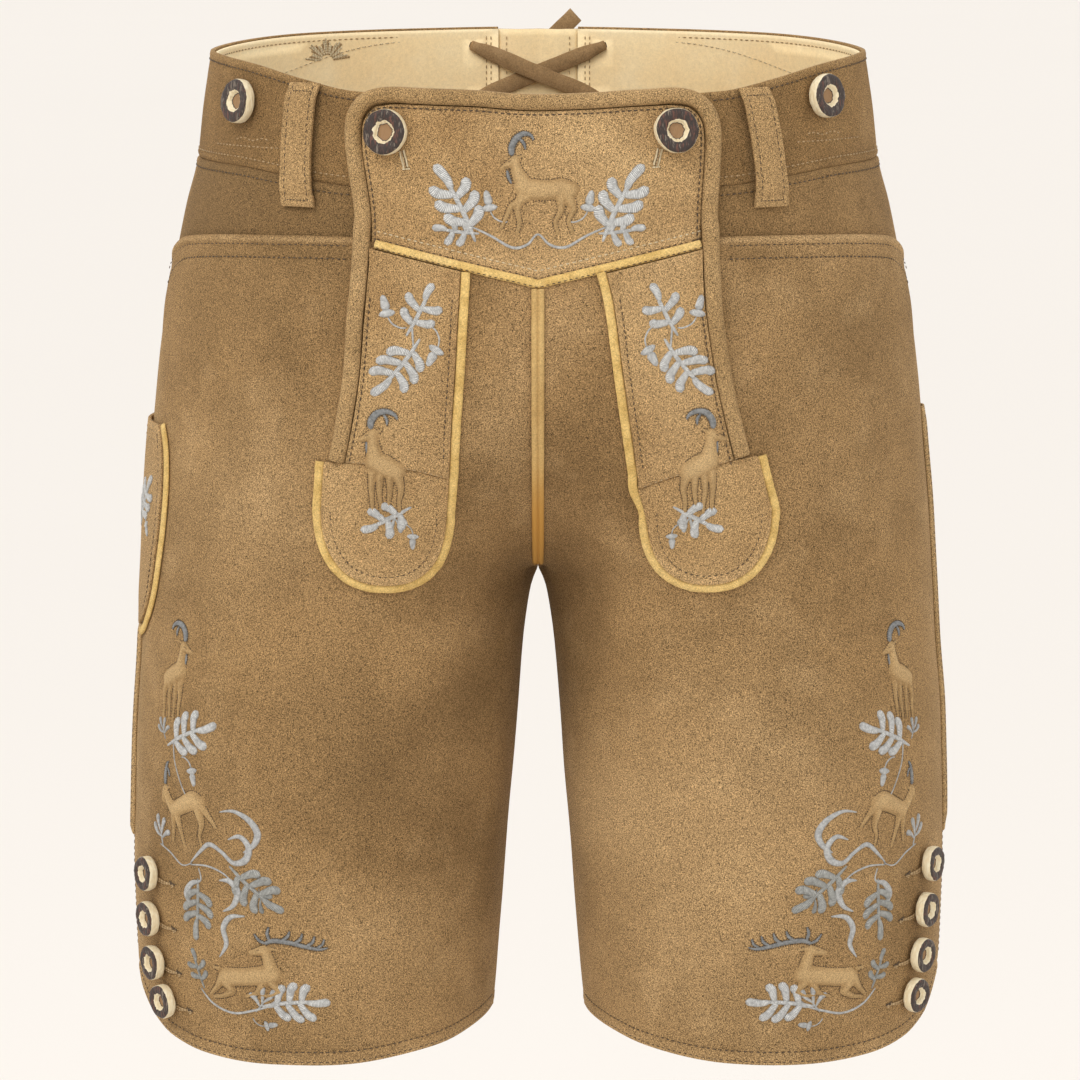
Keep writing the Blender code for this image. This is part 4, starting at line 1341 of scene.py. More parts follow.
def chamois_standing() -> Motif:
    """Chamois standing on four straight legs, its head to the left.

    Returns:
        The motif.
    """
    return Motif(
        (Stroke(((-5.4, 17.0, 1.3), (-5.2, 20.8, 1.7), (-2.4, 24.4, 1.6), (1.8, 25.4, 1.3),
                 (5.4, 24.0, 0.9), (6.8, 21.6, 0.4)), Thread.SLATE),
         Stroke(((0.4, 24.2, 0.6), (1.9, 21.6, 0.75), (1.8, 19.0, 0.35)), Thread.SLATE),
         Stroke(((-7.4, 11.4, 0.5), (-7.2, 7.6, 0.8), (-6.4, 4.0, 0.35)), Thread.SLATE)),
        (Limb(((-3.6, 2.6, 4.6), (0.8, 0.2, 5.0), (5.2, -2.0, 4.4))),
         Limb(((-3.8, 4.6, 4.0), (-4.4, 9.6, 2.9), (-4.5, 12.8, 2.4))),
         Limb(((-4.9, 14.4, 2.5), (-8.0, 13.0, 1.6), (-10.6, 12.0, 1.0))),
         Limb(((-2.8, 15.8, 0.8), (-0.6, 16.8, 0.45))),
         Limb(((-5.2, -3.4, 1.9), (-5.7, -11, 1.15), (-5.4, -18, 0.8), (-5.4, -22, 0.7))),
         Limb(((-1.8, -4.6, 1.8), (-2.2, -12, 1.1), (-1.6, -18, 0.8), (-1.6, -22, 0.7))),
         Limb(((2.6, -4.6, 1.8), (2.6, -11.4, 1.1), (1.9, -17.4, 0.8), (2.0, -21.6, 0.7))),
         Limb(((6.4, -4.4, 2.3), (7.6, -10.4, 1.4), (6.6, -16.6, 0.85), (6.8, -21.4, 0.75)))),
        (((-7.8, 14.2), (-6.4, 14.6)),))


def chamois_grazing() -> Motif:
    """Chamois with its neck let down on the left and one hind leg back.

    Returns:
        The motif.
    """
    return Motif(
        (Stroke(((-14.6, 10.6, 1.0), (-14.4, 15.4, 1.2), (-13.2, 20.6, 0.8), (-11.6, 22.6, 0.35)),
                Thread.SLATE),
         Stroke(((-13.0, 19.4, 0.4), (-11.4, 17.6, 0.6), (-10.8, 15.0, 0.3)), Thread.SLATE)),
        (Limb(((-6, -0.6, 4.0), (0.4, 2.6, 4.3), (6.8, 5.4, 4.8), (10.6, 4.4, 4.2))),
         Limb(((-7.6, -1.0, 3.2), (-11.6, 3.0, 2.5), (-14.0, 7.0, 1.9))),
         Limb(((-14.8, 8.4, 1.9), (-15.8, 5.2, 1.4), (-16.2, 2.2, 0.9))),
         Limb(((-13.0, 9.0, 0.7), (-11.2, 9.4, 0.4))),
         Limb(((-4.6, -4, 2.1), (-2.4, -10.6, 1.3), (0.2, -17.8, 0.8))),
         Limb(((-7.8, -4, 1.8), (-7.6, -10.4, 1.15), (-8.6, -16.4, 0.75))),
         Limb(((10.4, 0.6, 2.9), (12.0, -6.2, 1.5), (10.4, -11.8, 0.9), (11.4, -17.2, 0.75))),
         Limb(((13.0, 2.6, 2.1), (17.4, -2.6, 1.2), (20.2, -6.4, 0.8)))),
        (((-15.2, 8.6), (-14.6, 7.6)),))


def stag_resting() -> Motif:
    """Stag at rest with folded legs, its antlers laid back over it.

    Returns:
        The motif.
    """
    tines = (((14.4, 18.6, 0.7), (13.4, 22.4, 0.9), (14.6, 26.0, 0.35)),
             ((12.0, 17.2, 0.7), (8.8, 18.8, 0.8), (6.6, 22.0, 0.35)),
             ((20.0, 18.8, 0.7), (23.4, 21.0, 0.85), (25.0, 24.2, 0.35)),
             ((26.4, 17.6, 0.7), (29.8, 19.8, 0.85), (31.2, 23.2, 0.35)),
             ((32.4, 16.4, 0.6), (35.8, 18.4, 0.8), (37.2, 21.8, 0.35)),
             ((37.6, 15.4, 0.6), (40.6, 17.2, 0.7), (41.8, 20.2, 0.3)))
    return Motif(
        (Stroke(((11.6, 17.0, 0.9), (16, 18.8, 1.25), (24, 18.2, 1.25), (32, 16.2, 1.1), (39, 14.8, 0.8),
                 (43.4, 15.6, 0.35)), Thread.SLATE),
         *(Stroke(t, Thread.SLATE) for t in tines)),
        (Limb(((-9.6, -1.4, 4.8), (0, -0.6, 4.5), (9.4, 0.6, 4.9), (14.6, 1.4, 4.4))),
         Limb(((13.6, 4.0, 3.8), (13.0, 8.8, 3.1), (12.0, 12.0, 2.7))),
         Limb(((11.2, 13.6, 2.7), (7.6, 12.8, 2.0), (4.4, 12.0, 1.3))),
         Limb(((14.4, 14.6, 0.9), (17.6, 14.0, 0.5))),
         Limb(((13.4, -3, 2.2), (17.2, -7.4, 1.4), (12.0, -9.8, 1.0), (7.6, -9.6, 0.8))),
         Limb(((8.6, -4, 2.0), (5.4, -8.6, 1.2), (0, -10.4, 0.8))),
         Limb(((-10.6, -4, 3.4), (-7.6, -8.6, 1.7), (-13.4, -11.6, 1.1), (-18.6, -12.4, 0.8))),
         Limb(((-12.6, -2, 2.9), (-16.6, -7.4, 1.5), (-20.6, -11.2, 0.9))),
         Limb(((-14.8, 2.2, 1.1), (-17.6, 2.8, 0.6)))),
        (((7.4, 13.6), (8.8, 14.2)),))


def sweep(*points: tuple, thread: Thread = Thread.SILVER) -> Motif:
    """Scroll of one swelling stroke."""
    return Motif((Stroke(tuple(points), thread),))


@dataclass
class Embroidery:
    """Satin strokes, stuffed animals and their outlines, on the flap, strips and legs."""

    wardrobe: Wardrobe
    needle: Needlework
    relief_cell: float = 0.62
    stuffing: float = 2.5
    # Scrolls: (across, level, half width) points, across from the side seam on the legs
    flap_scroll: tuple = ((-31, -50.5, 0.4), (-22, -54.8, 0.6), (-12, -60.2, 0.7), (-5, -58.8, 0.65),
                          (0, -54.0, 0.5), (5.6, -58.8, 0.65), (13, -60.0, 0.7), (23, -54.6, 0.6),
                          (32.4, -50.5, 0.4))
    hem_scroll: tuple = ((81, -430, 0.3), (88, -437, 0.55), (99, -440.5, 0.6), (110, -438.5, 0.6),
                         (120, -435.5, 0.4))
    leg_scrolls: tuple = (
        ((56, -361, 0.3), (65, -364, 0.4), (74, -369, 0.35), (81, -367, 0.3)),
        ((99, -339.5, 0.3), (107, -338.5, 0.9), (115, -342.5, 1.6), (119.0, -349, 1.9), (116.5, -355, 1.4),
         (111, -359, 0.35)),
        ((80, -367, 0.3), (85.5, -361.5, 0.9), (92, -356.5, 1.25), (99, -359.5, 1.0), (105.5, -364.5, 1.3),
         (112, -362.5, 1.9), (114, -356, 1.7), (109.5, -351, 1.2), (103, -353, 0.35)),
        ((80, -368, 0.3), (90, -367.5, 0.5), (99, -370, 0.45), (105, -374.5, 0.3)),
        ((85, -369, 0.3), (86, -375, 0.5), (80, -377.5, 1.5), (76, -383, 1.7), (78.6, -389, 0.5)),
        ((97, -374, 0.35), (103, -374, 1.5), (107, -379, 1.9), (104, -386, 1.3), (98, -389.5, 0.35)),
        ((110, -391, 0.35), (102, -392, 1.35), (97.5, -398, 1.6), (98.5, -406, 1.3), (94, -413, 0.3)))
    meshes: dict = field(default_factory=dict)

    def satin(self, stroke: Stroke, spot: Spot) -> None:
        """Raise one satin stroke on the surface, round at both ends.

        Args:
            stroke: the stroke.
            spot: where its motif goes.
        """
        if stroke.thread not in self.meshes:
            self.meshes[stroke.thread] = bmesh.new()
        fine = curve_through(stroke.points, 0.8)
        line = [(*spot.flat(u, v), max(w, 0.2) * spot.size) for u, v, w in fine]
        run = [0.0]
        for a, b in zip(line, line[1:]):
            run.append(run[-1] + math.dist(a[:2], b[:2]))
        rings = []
        for index, (a, b, wide) in enumerate(line):
            rest = min(run[index], run[-1] - run[index])
            wide *= math.sqrt(max(1.0 - (1.0 - min(rest / max(wide, 0.1), 1.0)) ** 2, 0.02))
            along = heading(line, index)
            rise = 0.32 + 0.30 * min(wide, 2.0)
            ring = []
            for k in range(8):
                turn = 2.0 * math.pi * k / 8
                side, up = wide * math.cos(turn), math.sin(turn)
                height = rise * up if up > 0.01 else 0.35 * up - 0.02
                ring.append(spot.put(a - along.y * side, b + along.x * side, height))
            rings.append(ring)
        lay_tube(self.meshes[stroke.thread], rings, 0.8)

    def outline(self, stroke: Stroke, spot: Spot) -> None:
        """Edge a dark stroke with small stitches.

        Args:
            stroke: the stroke.
            spot: where its motif goes.
        """
        for edge in (1.0, -1.0):
            line = curve_through(stroke.points, 0.8)
            path = []
            for index, (u, v, w) in enumerate(line):
                along = heading(line, index)
                path.append(spot.flat(u - along.y * edge * (w + 0.25), v + along.x * edge * (w + 0.25)))
            self.needle.run(Thread.BROWN, path, spot.put, 1.2, 0.75, 0.55, 0.15, False)

    @staticmethod
    def inside(limbs: Sequence[Limb], u: float, v: float) -> float:
        """Depth inside the stuffed shape at a point of the drawing: smooth over all its limbs.

        Args:
            limbs: the animal's limbs.
            u: across the drawing.
            v: up the drawing.

        Returns:
            The depth, below 0 outside the shape.
        """
        total = 0.0
        for limb in limbs:
            best = -9.0
            for (ax, ay, ar), (bx, by, br) in zip(limb.points, limb.points[1:]):
                dx, dy = bx - ax, by - ay
                t = min(max(((u - ax) * dx + (v - ay) * dy) / (dx * dx + dy * dy), 0.0), 1.0)
                best = max(best, lerp(ar, br, t) - math.hypot(u - ax - dx * t, v - ay - dy * t))
            total += math.exp(3.2 * min(best, 12.0))
        return math.log(max(total, 1e-9)) / 3.2

    def stuffed(self, name: str, motif: Motif, spot: Spot) -> None:
        """Raise an animal out of the leather and sew round it.

        Args:
            name: the piece's name.
            motif: the animal.
            spot: where it goes.
        """
        us = [p[0] for limb in motif.limbs for p in limb.points]
        vs = [p[1] for limb in motif.limbs for p in limb.points]
        low, high = (min(us) - 6.0, min(vs) - 6.0), (max(us) + 6.0, max(vs) + 6.0)
        cell = self.relief_cell / spot.size
        columns, rows = math.ceil((high[0] - low[0]) / cell), math.ceil((high[1] - low[1]) / cell)
        bm = bmesh.new()
        bmesh.ops.create_grid(bm, x_segments=columns, y_segments=rows, size=0.5)
        deep = bm.verts.layers.float.new("deep")
        wear_and_shade_layer = bm.verts.layers.float.new("wear_and_shade")
        for vert in bm.verts:
            u, v = lerp(low[0], high[0], vert.co.x + 0.5), lerp(low[1], high[1], vert.co.y + 0.5)
            vert[deep] = self.inside(motif.limbs, u, v)
            vert.co = (u, v, 0.0)
        beyond = [face for face in bm.faces if max(vert[deep] for vert in face.verts) < -0.25]
        bmesh.ops.delete(bm, geom=beyond, context="FACES")
        grown = bmesh.ops.extrude_face_region(bm, geom=bm.faces[:], use_keep_orig=True)
        under = {item for item in grown["geom"] if isinstance(item, bmesh.types.BMVert)}
        for vert in bm.verts:
            u, v, depth = vert.co.x, vert.co.y, vert[deep]
            rise = self.stuffing * (1.0 - math.exp(-max(depth, 0.0) / 1.7)) - (0.12 if depth <= 0.0 else 0.0)
            vert[wear_and_shade_layer] = 0.6 * ease(depth / 3.0)
            vert.co = spot.put(*spot.flat(u, v), -0.5 if vert in under else rise) * MM
        bm.verts.layers.float.remove(deep)
        Piece(name, self.wardrobe["relief"], slot="leather").build(bm)
        for limb in motif.limbs:
            self.sew_round(limb, motif.limbs, spot)
        for line in motif.lines:
            self.needle.run(Thread.BROWN, [spot.flat(*p) for p in line], spot.put, 0.9, 0.8, 0.4, 1.35, False)

    def sew_round(self, limb: Limb, limbs: Sequence[Limb], spot: Spot) -> None:
        """Stitch along a limb's sides, where they are the animal's outline.

        Args:
            limb: the limb.
            limbs: every limb of the animal.
            spot: where the animal goes.
        """
        line = curve_through(limb.points, 0.5)
        for edge in (1.0, -1.0):
            path = []
            for index, (u, v, r) in enumerate(line):
                along = heading(line, index)
                place = (u - along.y * edge * (r + 0.3), v + along.x * edge * (r + 0.3))
                if self.inside(limbs, *place) < 0.05:
                    path.append(spot.flat(*place))
                elif len(path) > 2:
                    self.needle.run(Thread.BROWN, path, spot.put, 1.35, 0.95, 0.55, 0.1, False)
                    path = []
            if len(path) > 2:
                self.needle.run(Thread.BROWN, path, spot.put, 1.35, 0.95, 0.55, 0.1, False)

    def work(self, motif: Motif, spot: Spot, name: str = "") -> None:
        """Work a whole motif.

        Args:
            motif: the motif.
            spot: where it goes.
            name: name of its stuffed piece.
        """
        for stroke in motif.strokes:
            self.satin(stroke, spot)
            if stroke.thread is Thread.SLATE:
                self.outline(stroke, spot)
        if motif.limbs:
            self.stuffed(name, motif, spot)

    def flap(self) -> None:
        """Chamois between two oak sprays on the flap's upper part."""
        self.work(chamois_walking(), Spot(on_flap, 2.4, -34.8, 0.0, 0.95), "stuffed_chamois_flap")
        for flip, across in ((False, -31.0), (True, 32.0)):
            lean = -1.0 if flip else 1.0
            for motif, inward, level, turn, size, turned in (
                    (oak_leaf(-1.2, 21.0, 5.8), -0.5, -51.5, 22.0, 1.65, flip),
                    (oak_leaf(1.0, 15.0, 5.6, 2), -1.0, -53.5, 86.0, 1.2, flip),
                    (acorn(), 8.4, -41.5, 10.0, 1.15, not flip)):
                self.work(motif, Spot(on_flap, across + inward * lean, level, turn * lean, size, turned))
        self.work(sweep(*self.flap_scroll), Spot(on_flap, 0, 0))

    def strip(self, side: Side) -> None:
        """Oak spray, standing chamois and a small spray down one strip.

        Args:
            side: the wearer's side.
        """
        right = side is Side.RIGHT
        middle = -62.0 if right else 66.0

        def at(across: float, level: float, turn: float, size: float, turned: bool = False) -> Spot:
            """Place on the strip, counted outwards from its middle line.

            Args:
                across: distance outwards from the strip's middle line.
                level: height.
                turn: the motif's turn, in degrees.
                size: its scale.
                turned: True to draw it mirrored on the wearer's right and as it is on the left.

            Returns:
                The place.
            """
            return Spot(on_strip, middle + side.sign * across, level, turn * side.sign, size, turned == right)

        self.work(oak_leaf(1.0, 17.0, 6.6, 2), at(-3.6, -97.5, 30.0, 1.35, True))
        self.work(oak_leaf(-1.4), at(-4.2, -108.0, -146.0, 1.45, True))
        self.work(acorn(), at(8.0, -91.5, -12.0, 1.2, True))
        self.work(acorn(), at(-14.6, -108.5, 212.0, 1.2, True))
        self.work(sweep((-3.6, -93, 0.3), (-3.8, -100, 0.5), (-4.2, -108, 0.4)),
                  Spot(on_strip, middle, 0, 0, 1, right))
        self.work(chamois_standing(), at(11.0, -164.5, 0.0, 1.04),
                  f"stuffed_chamois_strip_{side.value}")
        self.work(oak_leaf(-1.0, 16.0, 6.0, 2), at(3.0, -187.0, -120.0, 1.35, True))
        self.work(oak_spray(), at(7.0, -187.0, 165.0, 0.75, True))
        self.work(acorn(), at(-1.8, -199.0, 186.0, 0.85, True))

    def leg(self, side: Side) -> None:
        """Two chamois, a stag, sprays and scrolls beside one leg's buttons.

        Args:
            side: the wearer's side.
        """
        wrap = LegWrap(side)

        def at(reach: float, level: float, turn: float = 0.0, size: float = 1.0,
               turned: bool = False) -> Spot:
            """Place on the leg, by the distance from its side seam."""
            return Spot(wrap, reach, level, turn, size, turned)

        self.work(chamois_standing(), at(65.0, -275.5, 0.0, 1.0, True), f"stuffed_chamois_high_{side.value}")
        self.work(oak_leaf(1.2), at(68.0, -308.0, -62.0, 1.5))
        self.work(oak_spray(), at(60.0, -306.0, 28.0, 0.7, True))
        self.work(sweep((68, -307, 0.35), (69.6, -318, 0.3), (75.5, -330, 0.3), (79, -334.5, 0.3)), at(0, 0))
        self.work(acorn(), at(82.5, -321.0, 190.0, 1.05, True))
        self.work(chamois_grazing(), at(76.0, -341.0, 0.0, 1.0), f"stuffed_chamois_low_{side.value}")
        self.work(oak_spray(), at(58.0, -359.0, 14.0, 0.95, True))
        for points in self.leg_scrolls:
            self.work(sweep(*points), at(0, 0))
        self.work(oak_leaf(0.8, thread=Thread.ASH), at(84.0, -379.5, 176.0, 1.3))
        self.work(oak_leaf(-1.0, thread=Thread.ASH), at(107.0, -370.0, -134.0, 1.4))
        self.work(oak_spray(Thread.ASH), at(118.5, -378.5, -172.0, 0.75))
        self.work(stag_resting(), at(107.5, -421.0, 0.0, 0.98), f"stuffed_stag_{side.value}")
        self.work(oak_leaf(0.6, 18.0, 6.0, 2, Thread.ASH), at(82.0, -426.5, 20.0, 0.95))
        self.work(sweep(*self.hem_scroll), at(0, 0))
        self.work(oak_leaf(1.2), at(120.0, -435.0, -80.0, 1.4))
        self.work(oak_spray(), at(113.0, -437.0, -40.0, 0.95))
        self.work(acorn(), at(116.0, -446.0, -78.0, 0.8))

    def pocket(self) -> None:
        """Pale oak leaf and a dark spray on the knife pocket, towards its front edge."""
        def put(y: float, z: float, offset: float) -> Vector:
            """Point above the pocket's leather.

            Args:
                y: depth.
                z: height.
                offset: distance above the leather.

            Returns:
                The point.
            """
            return on_knife_side(y, z, CLEAR + CAD_WALL + 0.4 + offset)

        self.work(oak_leaf(-1.0), Spot(put, -13.0, -203.0, 33.0, 1.35))
        self.work(oak_spray(Thread.ASH), Spot(put, -7.0, -206.0, -24.0, 1.0))
        self.work(acorn(), Spot(put, -24.0, -206.0, 150.0, 0.9))

    def finish(self) -> None:
        """Make one object of each thread's satin strokes."""
        for thread, bm in self.meshes.items():
            Piece(f"satin_{thread.value}", self.wardrobe[thread]).build(bm)


# The garment's pieces

@dataclass
class LegPanels:
    """Front and back leg panels, with their pocket edges, seams and hems."""

    wardrobe: Wardrobe
    needle: Needlework
    columns: Sequence[float] = tuple(even(54, (0.004, 0.009, 0.016)))
    top_steps: Sequence[float] = (0.0, 0.7, 1.4, 2.2, 3.0, 3.7, 4.3, 5.0, 6.4, 8.2, 9.6, 10.5, 11.4, 13.0)
    hem_steps: Sequence[float] = (10.0, 8.2, 7.3, 6.6, 5.9, 4.4, 2.8, 1.9, 1.2, 0.5, 0.0)
    middle_rows: int = 84

    @staticmethod
    def seam_dip(share: float) -> float:
        """Valley and soft ridge beside the seams at both sides of a panel."""
        near = 150.0 * min(share, 1.0 - share)
        return -0.9 * bump(near, 0.0, 1.0) + 0.3 * bump(near, 2.6, 1.5)

    @staticmethod
    def pocket_roll(below: float) -> float:
        """Roll of the pocket edge, with the grooves of its two rows of stitches."""
        return 1.05 * bump(below, 2.1, 1.7) - 0.5 * bump(below, 4.3, 0.7) - 0.4 * bump(below, 10.5, 0.9)

    @staticmethod
    def hem_roll(above: float) -> float:
        """Soft roll of the hem, with the grooves of its two rows of stitches."""
        return 0.25 * bump(above, 3.4, 2.2) - 0.4 * bump(above, 6.6, 0.7) - 0.25 * bump(above, 1.6, 0.5)

    @staticmethod
    def front_top(share: float) -> float:
        """Height of a front panel's top edge: the pocket edge, and the V seam under the flap.

        Args:
            share: 0 at the middle seam, 1 at the side seam.

        Returns:
            The height.
        """
        z = -62.0
        for _ in range(6):
            x = FORM.across_at(share, z)
            z = lerp(POCKET_EDGE(FORM.angle_at(x, z)), v_seam(x) - 0.15, ease((FLAP_HALF + 6.0 - x) / 8.0))
        return z

    def level(self, step: float, top: float, hem: float) -> tuple[float, float, float]:
        """Height of a row, and its distance from the top edge and the hem.

        Args:
            step: the row's share, from the hem (0) to the top (1).
            top: height of the top edge.
            hem: height of the hem.

        Returns:
            The height and the two distances.
        """
        lows, highs = len(self.hem_steps), len(self.top_steps)
        rows = lows + highs + self.middle_rows - 1
        row = round(step * rows)
        if row < lows:
            z = hem + self.hem_steps[lows - 1 - row]
        elif row > rows - highs:
            z = top - self.top_steps[rows - row]
        else:
            t = (row - lows + 1) / (rows - lows - highs + 2)
            z = lerp(hem + self.hem_steps[0], top - self.top_steps[-1], t)
        return z, top - z, z - hem

    def rows(self) -> list[float]:
        """Shares of the rows."""
        count = len(self.hem_steps) + len(self.top_steps) + self.middle_rows - 1
        return [k / count for k in range(count + 1)]

    def build(self) -> None:
        """Make the four panels and their stitches."""
        for side in Side:
            self.front(side)
            self.back(side)
            self.seams(side)

    def front(self, side: Side) -> None:
        """Front panel with its rolled pocket edge.

        Args:
            side: the wearer's side.
        """
        tops: dict[float, float] = {}

        def spot(u: float, v: float, depth: float) -> Vector:
            """Point of the front panel.

            Args:
                u: share across the piece.
                v: share along the piece.
                depth: distance into the wall, in millimetres.

            Returns:
                The point, in millimetres.
            """
            if u not in tops:
                tops[u] = self.front_top(u)
            hem = FRONT_HEM((1.0 - math.cos(math.pi * u)) / 2.0)
            z, below, above = self.level(v, tops[u], hem)
            x = FORM.across_at(u, z)
            angle = FORM.angle_at(x, z) if z > -128.0 else 90.0
            pocket = 1.0 - ease((FLAP_HALF + 8.0 - x) / 8.0)
            offset = FORM.panel_lift(z, angle) + self.seam_dip(u) * (1.0 if z < -85 else 0.3)
            offset += pocket * self.pocket_roll(below)
            offset += self.hem_roll(above)
            if u > 0.9995:
                return FORM.on_side(side.sign, -0.01, z, offset - depth)
            return FORM.on_body(side.sign * x, z, offset - depth)

        def wear_and_shade(u: float, v: float) -> float:
            """Paling of the front panel from use.

            Args:
                u: share across the piece.
                v: share along the piece.

            Returns:
                Paling, from 0 for none to 1 for scuffed pale.
            """
            row = v * (len(self.rows()) - 1)
            top = 0.75 * bump(len(self.rows()) - 1 - row, 3.0, 3.0) * (1.0 if u > 0.3 else 0.0)
            hem = 0.5 * bump(row, 0.0, 5.0)
            sides = 0.55 * ease((u - 0.80) / 0.2) + 0.25 * ease((0.12 - u) / 0.12)
            thigh = 0.30 * bump(u, 0.55, 0.22) * bump(v, 0.32, 0.22)
            return min(1.0, top + hem + sides + thigh)

        sheet = LeatherSheet(self.columns, self.rows(), spot, WALL, wear_and_shade)
        thing = Piece(f"front_leg_{side.value}", self.wardrobe["suede"], f"front_{side.value}", "leather",
                      0.4).build(sheet.build())

    def back(self, side: Side) -> None:
        """Back panel, from the waist seam to the hem.

        Args:
            side: the wearer's side.
        """
        def spot(u: float, v: float, depth: float) -> Vector:
            """Point of the back panel.

            Args:
                u: share across the piece.
                v: share along the piece.
                depth: distance into the wall, in millimetres.

            Returns:
                The point, in millimetres.
            """
            angle = -FORM.angle_at(FORM.across_at(u, -24.0), -24.0)
            hem = BACK_HEM((1.0 - math.cos(math.pi * u)) / 2.0)
            z, below, above = self.level(v, WAIST_SEAM(angle) - SEAM, hem)
            offset = self.seam_dip(u) - 0.8 * bump(below, 0.0, 0.9) + 0.3 * bump(below, 2.4, 1.4)
            offset += self.hem_roll(above)
            if u > 0.9995:
                return FORM.on_side(side.sign, 0.01, z, offset - depth)
            return FORM.on_body(side.sign * FORM.across_at(u, z), z, offset - depth, True)

        def wear_and_shade(u: float, v: float) -> float:
            """Paling of the back panel from use.

            Args:
                u: share across the piece.
                v: share along the piece.

            Returns:
                Paling, from 0 for none to 1 for scuffed pale.
            """
            sides = 0.5 * ease((u - 0.82) / 0.18) + 0.3 * ease((0.08 - u) / 0.08)
            seat = 0.45 * bump(u, 0.45, 0.2) * bump(v, 0.66, 0.14)
            return min(1.0, sides + seat + 0.4 * bump(v, 0.0, 0.05))

        sheet = LeatherSheet(self.columns, self.rows(), spot, WALL, wear_and_shade)
        thing = Piece(f"back_leg_{side.value}", self.wardrobe["suede"], f"back_{side.value}", "leather",
                      0.4).build(sheet.build())

    def seams(self, side: Side) -> None:
        """Rows of stitches along the pocket edge, the hems and the side seam.

        Args:
            side: the wearer's side.
        """
        def pocket(below: float) -> list[Flat]:
            """Row of stitches under the pocket edge.

            Args:
                below: distance under the edge.

            Returns:
                Points of the row.
            """
            path = []
            for k in range(34):
                share = lerp(0.34, 0.985, k / 33.0)
                top = self.front_top(share)
                x = FORM.across_at(share, top)
                if x > 84.0:
                    path.append((side.sign * x, top - below))
            return path

        self.needle.run(Thread.BROWN, pocket(4.3), on_front, 3.3, 2.1, 0.75, -0.2)
        self.needle.run(Thread.BROWN, pocket(10.5), on_front, 3.0, 2.0, 0.75, 0.0)
        for back, table in ((False, FRONT_HEM), (True, BACK_HEM)):
            for above in (6.6, 1.6):
                path = []
                for k in range(80):
                    share = lerp(0.04, 0.96, k / 79.0)
                    z = table((1.0 - math.cos(math.pi * share)) / 2.0) + above
                    path.append((side.sign * FORM.across_at(share, z), z))
                self.needle.run(Thread.BROWN, path, lambda x, z, h, b=back: FORM.on_body(x, z, h, b),
                                3.1, 2.1, 0.7, -0.1)
        knife = side is Side.RIGHT
        for reach in (3.4, -3.4):
            self.needle.run(Thread.BROWN, [(-reach, z) for z in range(-266 if knife else -152, -432, -12)],
                            lambda y, z, h, s=side: FORM.on_side(s.sign, y, z, h), 3.2, 2.1, 0.7, 0.35)


